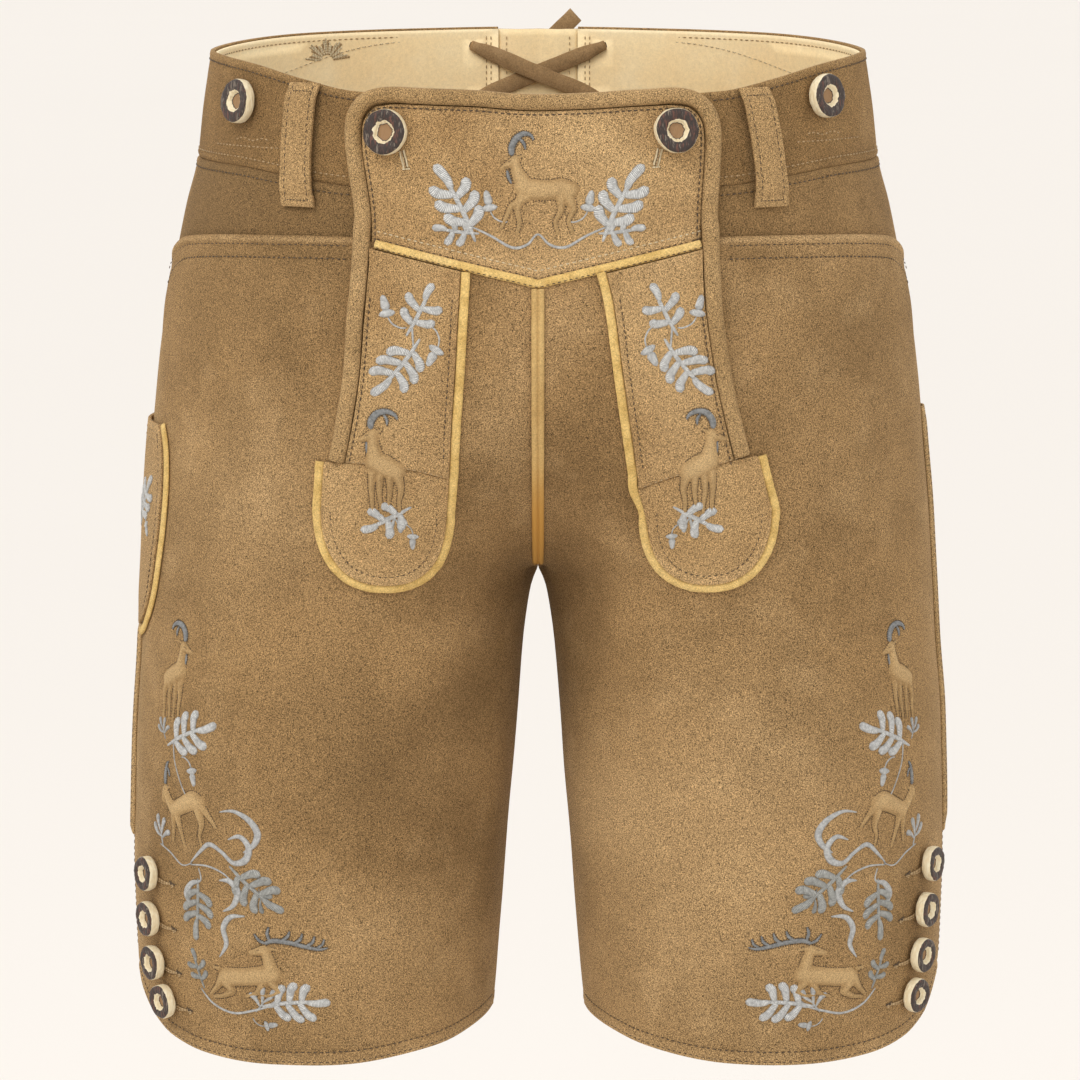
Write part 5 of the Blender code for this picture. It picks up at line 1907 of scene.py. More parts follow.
@dataclass
class Waist:
    """Hip yokes, waistband halves, linings, gusset and belt loops."""

    wardrobe: Wardrobe
    needle: Needlework
    gusset_half: float = 20.7
    gusset_levels: tuple = (-21.9, 32.6)
    loop_half: float = 7.1
    loop_foot: float = -43.3
    yoke_end: float = 66.0
    inside_face: float = -3.8
    fan_centre: tuple = (-110.0, 18.0)
    fan_rays: int = 26

    def build(self) -> None:
        """Make every piece round the waist."""
        for side in Side:
            self.yoke(side)
            self.band(side, False)
            self.band(side, True)
            self.loop(f"belt_loop_front_{side.value}", side, False)
            self.loop(f"belt_loop_back_{side.value}", side, True)
            self.seams(side)
        self.gusset()

    def yoke(self, side: Side) -> None:
        """Pocket facing under the front panel's edge.

        Args:
            side: the wearer's side.
        """
        def spot(u: float, v: float, depth: float) -> Vector:
            """Point of the pocket facing.

            Args:
                u: share across the piece.
                v: share along the piece.
                depth: distance into the wall, in millimetres.

            Returns:
                The point, in millimetres.
            """
            angle = lerp(0.0, self.yoke_end, u)
            top = WAIST_SEAM(angle) - SEAM
            bottom = POCKET_EDGE(angle) + 0.3 - 17.3 * ease((angle - 12.0) / 12.0)
            z = lerp(bottom, top, v)
            below = top - z
            offset = -0.8 * bump(below, 0.0, 0.9) + 0.35 * bump(below, 2.4, 1.3)
            offset -= 0.35 * bump(below, 4.2, 0.6)
            if u < 0.001:
                return FORM.on_side(side.sign, -SEAM, z, offset - depth)
            return FORM.round_body(side.sign, angle, z, offset - depth)

        rows = [0.0] + [lerp(0.05, 0.8, k / 9.0) for k in range(10)] + [0.85, 0.89, 0.92, 0.95, 0.98, 1.0]
        # The pocket facing is darkened all over with painted shade, under the band and behind the pocket
        # edge, and paler towards the side seam.
        sheet = LeatherSheet(even(30), rows, spot, WALL, lambda u, v: -0.45 + 0.6 * ease((0.2 - u) / 0.2))
        piece = Piece(f"pocket_facing_{side.value}", self.wardrobe["suede"], f"hip_yoke_{side.value}",
                      "leather", 0.3)
        thing = piece.build(sheet.build())

    def seats(self) -> tuple[float, ...]:
        """Places of the band's last columns, three of them at the eyelets.

        Returns:
            The distances from centre back, in millimetres.
        """
        across, half = EYELET_ACROSS, EYELET_HALF
        return (across + half + 3.0, across + half, across, across - half, across - half - 2.5,
                self.gusset_half)

    def band_columns(self) -> list[float]:
        """Angles of the band's columns, from centre front to the gusset.

        Returns:
            The angles, in degrees.
        """
        return [90.0 - 2.4 * k for k in range(65)] + [-FORM.angle_at(x, 0.0) for x in self.seats()]

    def band(self, side: Side, inside: bool) -> None:
        """Half of the waistband, or of its pale lining.

        Args:
            side: the wearer's side.
            inside: True for the lining.
        """
        angles = self.band_columns()
        across, half = EYELET_ACROSS, EYELET_HALF
        last = len(angles) - 1
        seat = {last - 5 + k: x for k, x in enumerate(self.seats())}
        marks = []
        for level in EYELET_LEVELS:
            marks += [level - half, level, level + half]
        outer, wall = (-BAND_WALL - 0.5, LINING_WALL) if inside else (0.0, BAND_WALL)
        drop = 0.9 if inside else 0.0

        def spot(u: float, v: float, depth: float) -> Vector:
            """Point of the band or its lining.

            Args:
                u: share across the piece.
                v: share along the piece.
                depth: distance into the wall, in millimetres.

            Returns:
                The point, in millimetres.
            """
            column, row = round(u * last), round(v * 17)
            angle = angles[column]
            top, bottom = RIM(angle) - drop, WAIST_SEAM(angle) + SEAM
            foot = [bottom, bottom + 1.2, bottom + 2.6, bottom + 4.2, bottom + 6.5]
            head = [top - 4.4, top - 3.4, top - 1.6, top]
            knots = [*foot, -12.0, *marks[:3], 4.0, 12.0, *marks[3:], *head]
            even_knots = [*foot, *(lerp(foot[-1], head[0], (k + 1) / 9.0) for k in range(9)), *head]
            z = lerp(even_knots[row], sorted(knots)[row], ease((-angle - 44.0) / 24.0))
            offset = outer
            if not inside:
                offset += -0.9 * bump(z - bottom, 0.0, 0.9) + 0.35 * bump(z - bottom, 2.5, 1.3)
                grooves = -0.3 * bump(z - bottom, 4.2, 0.5) - 0.3 * bump(top - z, 4.0, 0.5)
                offset += grooves + 0.25 * bump(top - z, 1.8, 1.2)
            if column >= last - 5:
                x = seat[column]
                for level in EYELET_LEVELS:
                    away = Vector((x - across, z - level))
                    if 1.0 < away.length < 5.4:
                        away = away.normalized() * 2.7
                        x, z = across + away.x, level + away.y
                return FORM.on_body(side.sign * x, z, offset - depth, True)
            if column == 0:
                return FORM.on_body(side.sign * SEAM, z, offset - depth)
            return FORM.round_body(side.sign, angle, z, offset - depth)

        holes = frozenset((c, r) for c in (last - 4, last - 3) for r in (6, 7, 11, 12))
        # Paler along the top rim, a painted highlight, and a little paler along the bottom edge.
        sheet = LeatherSheet([k / last for k in range(last + 1)], [k / 17 for k in range(18)], spot, wall,
                             lambda u, v: 0.5 * bump(v, 1.0, 0.09) + 0.2 * bump(v, 0.0, 0.1), holes)
        word = side.value
        made = Piece(f"waist_lining_{word}" if inside else f"waist_leather_{word}",
                     self.wardrobe["lining" if inside else "band"],
                     f"lining_{word}" if inside else f"waistband_{word}",
                     "lining" if inside else "band_leather", 0.25 if inside else 0.5)
        thing = made.build(sheet.build())

    def gusset(self) -> None:
        """Soft wedge at centre back, closed by the lace."""
        def spot(u: float, v: float, depth: float) -> Vector:
            """Point of the pleated wedge.

            Args:
                u: share across the piece.
                v: share along the piece.
                depth: distance into the wall, in millimetres.

            Returns:
                The point, in millimetres.
            """
            x = lerp(-self.gusset_half, self.gusset_half, u)
            pleat = 0.9 * math.cos(math.pi * (2 * u - 1) * 2) + 0.25 * math.cos(math.pi * (2 * u - 1) * 6)
            return FORM.on_body(x, lerp(*self.gusset_levels, v), -1.2 + pleat - depth, True)

        thing = Piece("gusset_leather", self.wardrobe["edge"], "back_gusset", "leather", 0.3).build(
            LeatherSheet(even(24), even(16), spot, 1.25).build())
        facing = Piece("gusset_facing", self.wardrobe["lining"], slot="lining").build(
            LeatherSheet(even(24), even(16), lambda u, v, depth: spot(u, v, depth + 1.3), 0.9).build())

        def inside(a: float, b: float, h: float) -> Vector:
            """Point on the inner face of the lining, with what stands on it towards the wearer."""
            return FORM.on_body(a, b, self.inside_face - h, True)

        for x in (-27.0, -24.6, -16.5, 16.5, 24.6, 27.0):
            self.needle.run(Thread.TAN, [(x, z) for z in range(-18, 31, 8)],
                            inside, 3.0, 2.0, 0.6, 0.1)
        for k in range(self.fan_rays):
            turn = math.radians(8.0 + 6.6 * k)
            far = 9.6 + 1.9 * math.cos(k * 0.97)
            x, z = self.fan_centre
            fan = [(x + r * math.cos(turn), z + r * math.sin(turn)) for r in (3.2, 0.6 * far, far)]
            self.needle.run(Thread.CREAM if k % 3 else Thread.TAN, fan, inside, 1.2, 1.6, 1.3, 0.2)

    def loop(self, name: str, side: Side, back: bool) -> None:
        """Belt loop that stands off the band between its sewn ends.

        Args:
            name: the node that it stands for.
            side: the wearer's side.
            back: True for a back loop.
        """
        ends = ((-92.0, -93.0) if side is Side.RIGHT else (92.0, 93.0)) if back else (
            (-109.8, -113.2) if side is Side.RIGHT else (101.6, 110.2))

        def spot(u: float, v: float, depth: float) -> Vector:
            """Point of the loop.

            Args:
                u: share across the piece.
                v: share along the piece.
                depth: distance into the wall, in millimetres.

            Returns:
                The point, in millimetres.
            """
            middle = lerp(ends[1], ends[0], v) + 1.2 * side.sign * math.sin(math.pi * v) * (0 if back else 1)
            x = middle + lerp(-self.loop_half, self.loop_half, u) * (1.0 + 0.10 * ease((0.35 - v) / 0.35))
            angle = FORM.angle_at(middle, 10.0)
            z = lerp(self.loop_foot, RIM(-angle if back else angle) - 0.9, v)
            rise = min(ease(v / 0.16), ease((1.0 - v) / 0.14))
            crown = 0.5 * math.sin(math.pi * u) - 0.35 * (bump(u, 0.16, 0.06) + bump(u, 0.84, 0.06))
            fold = 0.9 * bump(v, 0.035, 0.035) + 0.5 * bump(v, 0.97, 0.03) - 0.35 * bump(v, 0.085, 0.012)
            offset = CLEAR + 2.8 * rise + 2.0 + crown + fold
            return FORM.on_body(x, z, offset - depth * (1.0 + fold * 0.3), back)

        sheet = LeatherSheet([0, 0.06, 0.12, 0.16, 0.2, 0.3, 0.5, 0.7, 0.8, 0.84, 0.88, 0.94, 1],
                             even(52, (0.008, 0.018, 0.03)), spot, 1.9,
                             lambda u, v: 0.9 + 0.4 * (bump(v, 0.0, 0.08) + bump(v, 1.0, 0.06)))
        piece = Piece(name + "_leather", self.wardrobe["band"], name, "band_leather", 0.4)
        thing = piece.build(sheet.build())
        for share in (0.16, 0.84):
            path = [(share, lerp(0.03, 0.97, k / 24.0)) for k in range(25)]
            self.needle.run(Thread.BROWN, path, lambda u, v, h: spot(u, v, -h), 3.0, 1.9, 0.6, 0.08)
        for v in (0.05, 0.93):
            self.needle.run(Thread.BROWN, [(lerp(0.2, 0.8, k / 6.0), v) for k in range(7)],
                            lambda u, w, h: spot(u, w, -h), 1.9, 1.5, 0.6, 0.1)

    def seams(self, side: Side) -> None:
        """Rows of stitches along the band's edges, above its buttons and inside it.

        Args:
            side: the wearer's side.
        """
        def row(offset: Callable[[float], float], start: float, stop: float, thread: Thread,
                out: float = 0.0) -> None:
            """Sew one row round the waist.

            Args:
                offset: the row's height at an angle.
                start: first angle.
                stop: last angle.
                thread: the thread's colour.
                out: distance outside the form.
            """
            path = [(lerp(start, stop, k / 60.0), 0.0) for k in range(61)]
            self.needle.run(thread, path, lambda a, b, h: FORM.round_body(side.sign, a, offset(a), h + out),
                            3.2, 2.2, 0.75, 0.12, False)

        row(lambda a: WAIST_SEAM(a) + 4.2, 62.0, -70.0, Thread.TAN)
        row(lambda a: WAIST_SEAM(a) - 4.2, 62.0, -88.0, Thread.BROWN)
        row(lambda a: RIM(a) - 4.0, 62.0, -70.0, Thread.BROWN)
        middle = 5.0 if side is Side.RIGHT else 8.0
        row(lambda a: middle - 21.0, 44.0, 22.0, Thread.TAN)
        row(lambda a: middle - 17.5 + 0.6 * math.sin(a), 41.0, 30.0, Thread.TAN)
        row(lambda a: RIM(a) - 3.9, -74.0, 60.0, Thread.TAN, -4.0)
        row(lambda a: WAIST_SEAM(a) + 40.0 + 9.0 * math.sin(math.radians(a) * 4), -72.0, -30.0,
            Thread.CREAM, -4.1)


@dataclass
class DropFlap:
    """The flap: its upper part, strips, round ends, padded edge and yellow piping."""

    wardrobe: Wardrobe
    needle: Needlework
    strips: dict = field(default_factory=lambda: {
        Side.RIGHT: (Track((-171.7, -163, -146.8, -130, -108.2, -69.6),
                           (-42.8, -42.2, -41.2, -39.9, -38.2, -35.8)),
                     Track((-171.7, -163, -146.8, -130, -108.2, -69.6),
                           (-92.4, -90.9, -87.6, -84.7, -81.9, -78.4))),
        Side.LEFT: (Track((-171.6, -160.3, -146.8, -117.8, -84.6, -69.6),
                          (48.1, 46.3, 44.2, 39.8, 35.0, 31.2)),
                    Track((-171.6, -160.3, -146.8, -117.8, -84.6, -69.6),
                          (95.2, 92.3, 89.0, 82.6, 77.3, 76.5)))})
    tab_seams: dict = field(default_factory=lambda: {
        Side.RIGHT: Track((-108, -96.7, -79.9, -60.8, -39.5), (-163.3, -163.5, -164.4, -166.5, -171.6)),
        Side.LEFT: Track((42, 48.6, 62.9, 77.2, 101.2, 112),
                         (-177.5, -175.5, -170.5, -166.8, -161.3, -160.5))})
    tabs: dict = field(default_factory=lambda: {
        Side.RIGHT: {"centre": -73.6, "half": 29.3, "inner": -42.8, "outer": -101.0},
        Side.LEFT: {"centre": 81.8, "half": 29.2, "inner": 48.1, "outer": 104.4}})
    spring: float = -187.0
    drop: float = 36.3
    piping_step: float = 2.3
    v_half: float = 76.0
    edge_path: tuple = (
        (-95.1, -162.6), (-92.9, -152), (-91.0, -141), (-89.0, -130), (-87.4, -118.7), (-86.1, -106),
        (-85.2, -94), (-83.8, -81), (-82.8, -69), (-82.2, -58), (-82.2, -47.4), (-83.2, -38),
        (-84.6, -29), (-85.9, -20), (-86.8, -11.8), (-86.9, -5), (-85.8, 1), (-82.7, 6.2), (-77.5, 9.6),
        (-69, 10.9), (-55.5, 10.5), (-41, 10.1), (-27.2, 9.6), (-13, 8.4), (0, 7.9), (13, 8.2),
        (29, 8.8), (41, 9.6), (52.8, 10.1), (64, 10.6), (72, 9.3), (77.4, 5.8), (80.8, 0.5),
        (82.2, -5.5), (82.4, -11.7), (82.1, -20), (81.6, -29), (80.9, -39), (80.5, -49.4), (80.6, -60),
        (81, -71.3), (81.6, -82), (82.6, -93.9), (84.5, -106), (87, -118.6), (89.3, -130),
        (91.8, -140.3), (94.2, -150), (96.8, -160.3),
    )

    def build(self) -> None:
        """Make every piece of the flap."""
        self.upper()
        for side in Side:
            self.strip(side)
            self.tab(side)
            self.strip_piping(side)
        self.edge()
        self.v_and_centre()
        self.seams()

    def upper(self) -> None:
        """Upper part above the V seam."""
        right = Track((-61, -58, -47.4, -29, -11.8, -5, 1, 5.5),
                      (-78.0, -78.0, -78.1, -80.4, -82.6, -82.5, -80.4, -75.5))
        left = Track((-61, -58, -47.4, -29, -11.8, -5, 1, 5.5),
                     (76.4, 76.4, 76.4, 77.4, 78.2, 77.7, 75.4, 70.0))
        tops = Track((-76, -66, -55.5, -41, -27.2, -13, 0, 13, 29, 41, 52.8, 62, 71),
                     (5.2, 6.5, 6.3, 5.9, 5.4, 4.2, 3.7, 4.0, 4.6, 5.4, 5.9, 6.2, 5.0))

        def spot(u: float, v: float, depth: float) -> Vector:
            """Point of the flap's upper part.

            Args:
                u: share across the piece.
                v: share along the piece.
                depth: distance into the wall, in millimetres.

            Returns:
                The point, in millimetres.
            """
            x, z = lerp(-78.0, 76.4, u), lerp(-60.0, 5.0, v)
            for _ in range(7):
                x = lerp(right(z), left(z), u)
                z = lerp(v_seam(x) + 0.15, tops(x), v)
            above = z - v_seam(x)
            puff = 0.35 * bump(above, 4.2, 1.3) - 0.3 * bump(above, 6.2, 0.5) - 0.3 * bump(above, 2.4, 0.4)
            near = min(x - right(z), left(z) - x, tops(x) - z)
            puff += 0.4 * bump(near, 4.4, 1.6) - 0.5 * bump(near, 2.0, 0.8) - 0.4 * bump(near, 0.0, 1.0)
            return FORM.on_body(x, z, LIFT + puff - depth)

        rows = [0, 0.02, 0.04, 0.055, 0.07, 0.085, 0.1, 0.12] + [lerp(0.15, 1.0, k / 22.0) for k in range(23)]
        sheet = LeatherSheet(even(60), rows, spot, WALL,
                             lambda u, v: 0.35 * bump(v, 0.05, 0.1) + 0.25 * bump(u, 0.55, 0.2))
        thing = Piece("flap_upper_leather", self.wardrobe["flap"], "flap_yoke", "leather",
                      0.3).build(sheet.build())

    def strip(self, side: Side) -> None:
        """Strip below the V seam.

        Args:
            side: the wearer's side.
        """
        inner, outer = self.strips[side]
        seam = self.tab_seams[side]

        def spot(u: float, v: float, depth: float) -> Vector:
            """Point of the strip.

            Args:
                u: share across the piece.
                v: share along the piece.
                depth: distance into the wall, in millimetres.

            Returns:
                The point, in millimetres.
            """
            x, z = 0.0, lerp(-165.0, -62.0, v)
            for _ in range(7):
                x = lerp(inner(z), outer(z), u)
                z = lerp(seam(x) + SEAM, v_seam(x) - 2.6, v)
            near = abs(x - inner(z))
            far = abs(x - outer(z))
            dip = 0.25 * bump(near, 1.5, 1.2) - 0.35 * bump(near, 3.0, 0.5)
            dip -= 0.8 * bump(z - seam(x), 0.0, 0.8)
            dip += 0.35 * bump(far, 4.2, 1.6) - 0.5 * bump(far, 1.6, 0.9)
            return on_strip(x, z, dip - depth)

        sheet = LeatherSheet(even(24, (0.03, 0.05, 0.07)), even(44, (0.008, 0.016)), spot, WALL,
                             lambda u, v: 0.3 * bump(u, 0.5, 0.3))
        piece = Piece(f"strip_leather_{side.value}", self.wardrobe["flap"], f"strip_{side.value}", "leather",
                      0.3)
        thing = piece.build(sheet.build())

    def tab_point(self, side: Side, share: float, grow: float = 0.0) -> Flat:
        """Point on a tab's round end, from its inner side (0) to its outer side (1).

        Args:
            side: the wearer's side.
            share: share of the way round.
            grow: how far outside the leather's edge.

        Returns:
            The point across and its height.
        """
        tab = self.tabs[side]
        inward, turn = -side.sign, math.pi * share
        across = math.copysign(abs(math.cos(turn)) ** (2.0 / 2.3), math.cos(turn))
        down = max(math.sin(turn), 0.0) ** (2.0 / 2.3)
        return (tab["centre"] + inward * (tab["half"] + grow) * across,
                self.spring - (self.drop + grow) * down)

    def tab(self, side: Side) -> None:
        """Round end sewn under a strip.

        Args:
            side: the wearer's side.
        """
        tab, seam = self.tabs[side], self.tab_seams[side]

        def spot(u: float, v: float, depth: float) -> Vector:
            """Point of the round end.

            Args:
                u: share across the piece.
                v: share along the piece.
                depth: distance into the wall, in millimetres.

            Returns:
                The point, in millimetres.
            """
            low = self.tab_point(side, u)
            x = lerp(tab["inner"], tab["outer"], (1.0 - math.cos(math.pi * u)) / 2.0)
            high = seam(x) - SEAM
            x, z = lerp(low[0], x, v), lerp(low[1], high, v)
            dip = 0.3 * bump(v, 0.04, 0.04) - 0.35 * bump(v, 0.1, 0.02) - 0.8 * bump(high - z, 0.0, 0.8)
            return on_strip(x, z, dip - depth)

        rows = [0, 0.02, 0.04, 0.06, 0.08, 0.1, 0.12, 0.15] + [lerp(0.2, 1.0, k / 14.0) for k in range(15)]
        sheet = LeatherSheet([k / 48 for k in range(49)], rows, spot, WALL,
                             lambda u, v: 0.5 * bump(v, 0.0, 0.12))
        piece = Piece(f"round_end_leather_{side.value}", self.wardrobe["flap"], f"tab_{side.value}",
                      "edge_leather", 0.3)
        thing = piece.build(sheet.build())

    def strip_piping(self, side: Side) -> None:
        """Raw-edged piping down a strip's inner edge and round its end.

        Args:
            side: the wearer's side.
        """
        inner, _ = self.strips[side]
        tab, seam, step = self.tabs[side], self.tab_seams[side], -side.sign * self.piping_step
        path = [(inner(z) + step, z) for z in (-71.8, -84, -95, -107, -119, -132, -145, -158, -168)]
        path.append((tab["inner"] + step, seam(tab["inner"])))
        path += [self.tab_point(side, k / 24.0, self.piping_step) for k in range(25)]
        x, z = path[-1]
        path += [(lerp(x, tab["outer"] - step, t), lerp(z, seam(tab["outer"]), t)) for t in (0.5, 1.0)]
        section = both_sides(((2.1, 0.1), (2.15, 0.7), (1.9, 1.35), (1.0, 1.75)), ((0.0, 1.85),)) + [(0, 0)]
        trim = Trim(path, section, lambda a, b, h: on_front(a, b, CLEAR + h), 1.4, 0.32)
        piece = Piece(f"piping_{side.value}", self.wardrobe["piping"], f"strip_piping_{side.value}", "piping")
        piece.build(trim.build())

    def edge(self) -> None:
        """Padded roll round the flap."""
        def put(x: float, z: float, height: float) -> Vector:
            """Point above the leather that the roll lies on.

            Args:
                x: distance from the middle plane.
                z: height.
                height: distance above it.

            Returns:
                The point.
            """
            base = lerp(FORM.panel_lift(z), 0.0, ease((z + 54.0) / 9.0)) + CLEAR
            return FORM.on_body(x, z, base + height)

        section = [(s, h + 0.25) for s, h in roll_section(3.9, 4.3)]
        trim = Trim(self.edge_path, section, put, 2.0, 0.1)
        Piece("flap_padded_edge", self.wardrobe["edge"], "flap_welt", "edge_leather").build(trim.build())

    def v_and_centre(self) -> None:
        """Piping in the V seam and down the centre seam."""
        section = both_sides(((2.0, 0.0), (2.05, 0.6), (1.6, 1.25), (0.6, 1.6)))
        path = [(x, v_seam(x)) for x in (self.v_half * (k / 16.0 - 1.0) for k in range(33))]
        trim = Trim(path, section, lambda a, b, h: FORM.on_body(a, b, LIFT + CLEAR + h), 1.5, 0.26)
        Piece("v_seam_piping", self.wardrobe["piping"], "v_piping", "piping").build(trim.build())
        section = both_sides(((3.0, 0), (3.05, 0.7), (2.6, 1.5), (1.8, 1.85), (0.9, 1.7), (0.35, 1.2)),
                             ((0, 0.75),))
        path = [(0.0, z) for z in (-79.4, -104, -128, -152, -176, -196, -209, -217, -221.5)]
        trim = Trim(path, section, lambda a, b, h: on_front(a, b, CLEAR + 0.15 + h), 1.8, 0.22)
        Piece("centre_seam_piping", self.wardrobe["amber"], "centre_piping", "piping").build(trim.build())

    def seams(self) -> None:
        """Stitches inside the padded edge, above the V and round the strips."""
        self.needle.run(Thread.BROWN, self.inset(5.9, 5, len(self.edge_path) - 5), on_flap, 3.0, 2.2, 0.8,
                        0.1)
        across = range(-76, 77, 4)
        for above, thread in ((2.6, Thread.BROWN), (6.2, Thread.CREAM)):
            self.needle.run(thread, [(x, v_seam(x) + above) for x in across], on_flap, 3.1, 2.1, 0.7, 0.0)
        self.needle.run(Thread.BROWN, [(x, v_seam(x) - 1.5) for x in across],
                        lambda a, b, h: FORM.on_body(a, b, LIFT + CLEAR + 1.35 + h), 2.8, 1.8, 0.6, 0.0)
        for side in Side:
            inner, outer = self.strips[side]
            seam, s = self.tab_seams[side], side.sign
            levels = range(-84, -168, -8)
            self.needle.run(Thread.BROWN, [(inner(z) + 3.0 * s, z) for z in levels], on_strip, 2.9, 1.9, 0.65,
                            -0.1)
            self.needle.run(Thread.BROWN, [(outer(z) - 1.9 * s, z) for z in levels], on_strip, 3.0, 2.1, 0.75,
                            0.1)
            tab = self.tabs[side]
            xs = [lerp(tab["inner"] + 2 * s, tab["outer"] - 6 * s, k / 10.0) for k in range(11)]
            self.needle.run(Thread.TAN, [(x, seam(x) + 1.0) for x in xs], on_strip, 2.7, 1.9, 0.7, 0.05)
            ring = [self.tab_point(side, k / 30.0, -4.4) for k in range(31)]
            self.needle.run(Thread.BROWN, ring, on_strip, 2.9, 1.9, 0.65, -0.05)

    def inset(self, inward: float, first: int, last: int) -> list[Flat]:
        """The padded edge's path moved towards the flap's middle.

        Args:
            inward: how far to move it.
            first: first point's number.
            last: one past the last.

        Returns:
            The moved points.
        """
        path = self.edge_path
        made = []
        for index in range(first, last):
            along = heading(path, index)
            made.append((path[index][0] + along.y * inward, path[index][1] - along.x * inward))
        return made


@dataclass
class AntlerButtons:
    """Twelve slices of antler, their threads and the buttonholes beside them."""

    wardrobe: Wardrobe
    needle: Needlework
    steps: int = 44
    waist_size: tuple = (10.6, 6.2)
    leg_size: tuple = (8.5, 5.8)
    reach_up: float = 20.0

    def build(self) -> None:
        """Make the waist, flap and leg buttons."""
        waist = {Side.RIGHT: (-140.8, 5.0), Side.LEFT: (135.4, 8.0)}
        flap = {Side.RIGHT: (-70.0, -6.8), Side.LEFT: (63.4, -5.8)}
        legs = {Side.RIGHT: ((46, -377), (45, -400), (46.5, -422), (52, -440)),
                Side.LEFT: ((43, -372.5), (46.5, -395), (48, -417.5), (51, -437))}
        seed = 1.0
        for side in Side:
            x, z = waist[side]
            self.cut_slice(f"waist_button_{side.value}", FORM.on_body(x, z, 0.0),
                           FORM.on_body(x, z, self.reach_up),
                       *self.waist_size, seed)
            x, z = flap[side]
            self.cut_slice(f"flap_button_{side.value}", on_flap(x, z, 0.0), on_flap(x, z, self.reach_up),
                       *self.waist_size, seed + 3.3)
            self.buttonhole([(x - side.sign * 6.4, z - 8.6), (x - side.sign * 8.4, z - 16.6)], on_flap)
            for number, (reach, level) in enumerate(legs[side], 1):
                foot = FORM.on_side(side.sign, -reach, level, 0.0)
                tip = FORM.on_side(side.sign, -reach, level, self.reach_up)
                self.cut_slice(f"leg_button_{side.value}_{number}", foot, tip, *self.leg_size,
                           seed + number * 7.1)
                self.leg_loop(side, reach, level)
            seed += 41.0

    def cut_slice(self, node: str, foot: Vector, tip: Vector, radius: float, height: float,
                  seed: float) -> None:
        """Turn one slice of antler round its profile and make it uneven.

        Args:
            node: the CAD node that it stands for.
            foot: where it stands on the leather, in millimetres.
            tip: a point straight above the foot.
            radius: its radius.
            height: its thickness.
            seed: what makes its outline its own.
        """
        well, top, low = radius * 0.47, height + 1.5, 1.5
        profile = ((0, 0.2, 2.0), (2.2, 0.2, 2.0), (2.2, low, 0.0), (radius * 0.82, low, 0.0),
                   (radius - 0.3, low + 0.7, 0.0),
                   (radius, low + 1.6, 0.0), (radius + 0.05, low + 3.2, 0.0), (radius - 0.05, top - 1.2, 0.1),
                   (radius - 0.35, top - 0.45, 0.75), (radius - 0.9, top - 0.05, 1.0),
                   (radius - 1.9, top + 0.1, 1.0),
                   (well + 1.6, top - 0.05, 1.0), (well + 0.7, top - 0.35, 0.55),
                   (well + 0.1, top - 0.9, 0.1),
                   (well - 0.3, top - 1.7, 0.0), (well - 0.7, top - 2.5, 0.0), (well - 1.3, top - 2.9, 2.0),
                   (well * 0.4, top - 2.7, 2.0), (0, top - 2.8, 2.0))
        bm = bmesh.new()
        zone = bm.verts.layers.float.new("zone")
        verts = []
        for r, z, mark in profile:
            vert = bm.verts.new((r, 0.0, z))
            vert[zone] = mark
            verts.append(vert)
        edges = [bm.edges.new(pair) for pair in zip(verts, verts[1:])]
        bmesh.ops.spin(bm, geom=verts + edges, axis=(0, 0, 1), cent=(0, 0, 0), angle=2 * math.pi,
                       steps=self.steps,
                       use_merge=True)
        bmesh.ops.remove_doubles(bm, verts=bm.verts, dist=0.001)
        for vert in bm.verts:
            reach = math.hypot(vert.co.x, vert.co.y)
            if reach < 0.5:
                continue
            way = Vector((vert.co.x, vert.co.y, 0.0)) / reach
            broad = noise.noise(way * 1.1 + Vector((seed, 0, 0)))
            rough = noise.noise(way * 4.2 + Vector((0, seed, vert.co.z * 0.2)))
            face = ease((vert.co.z - top + 1.6) / 1.2)
            inner = ease((well + 2.2 - reach) / 2.0) * ease((vert.co.z - low - 1.0) / 1.0)
            move = 0.55 * broad + 0.22 * rough + inner * (0.45 * rough - 0.25)
            vert.co += way * move * (1.0 if reach > 3.0 else 0.3)
            vert.co.z += face * (0.34 * noise.noise(vert.co * 0.55 + Vector((seed, seed, 0))) + 0.12 * rough)
            vert[zone] += 0.25 * broad * face
        up = (tip - foot).normalized()
        turn = up.to_track_quat("Z", "Y").to_matrix().to_4x4() @ Matrix.Rotation(seed, 4, "Z")
        bmesh.ops.transform(bm, matrix=Matrix.Scale(MM, 4) @ Matrix.Translation(foot) @ turn, verts=bm.verts)
        Piece(f"{node}_slice", self.wardrobe["antler"], node, "antler").build(bm)

    def buttonhole(self, path: Sequence[Flat], put: Put) -> None:
        """Worked buttonhole: a slit, its dark painted with a row of brown stitches, between two close rows of
        thread.

        Args:
            path: the slit's two ends.
            put: function of across, level and offset.
        """
        (ax, az), (bx, bz) = path
        aside = Vector((bz - az, ax - bx)).normalized() * 0.95
        for sign in (1.0, -1.0):
            edge = [(x + sign * aside.x, z + sign * aside.y) for x, z in path]
            self.needle.run(Thread.CREAM, edge, put, 1.0, 1.7, 1.15, 0.4, False)
        self.needle.run(Thread.TAN, path, put, 1.4, 1.7, 1.0, 1.0, False)
        # Painted shade: brown stitches along the slit stand for its dark opening.
        self.needle.run(Thread.BROWN, path, put, 1.2, 1.7, 0.9, 0.1, False)
        self.needle.run(Thread.CREAM, [(bx - 1.6, bz - 0.6), (bx + 1.6, bz - 0.4)], put, 0.7, 1.4, 0.9, 0.5,
                        False)

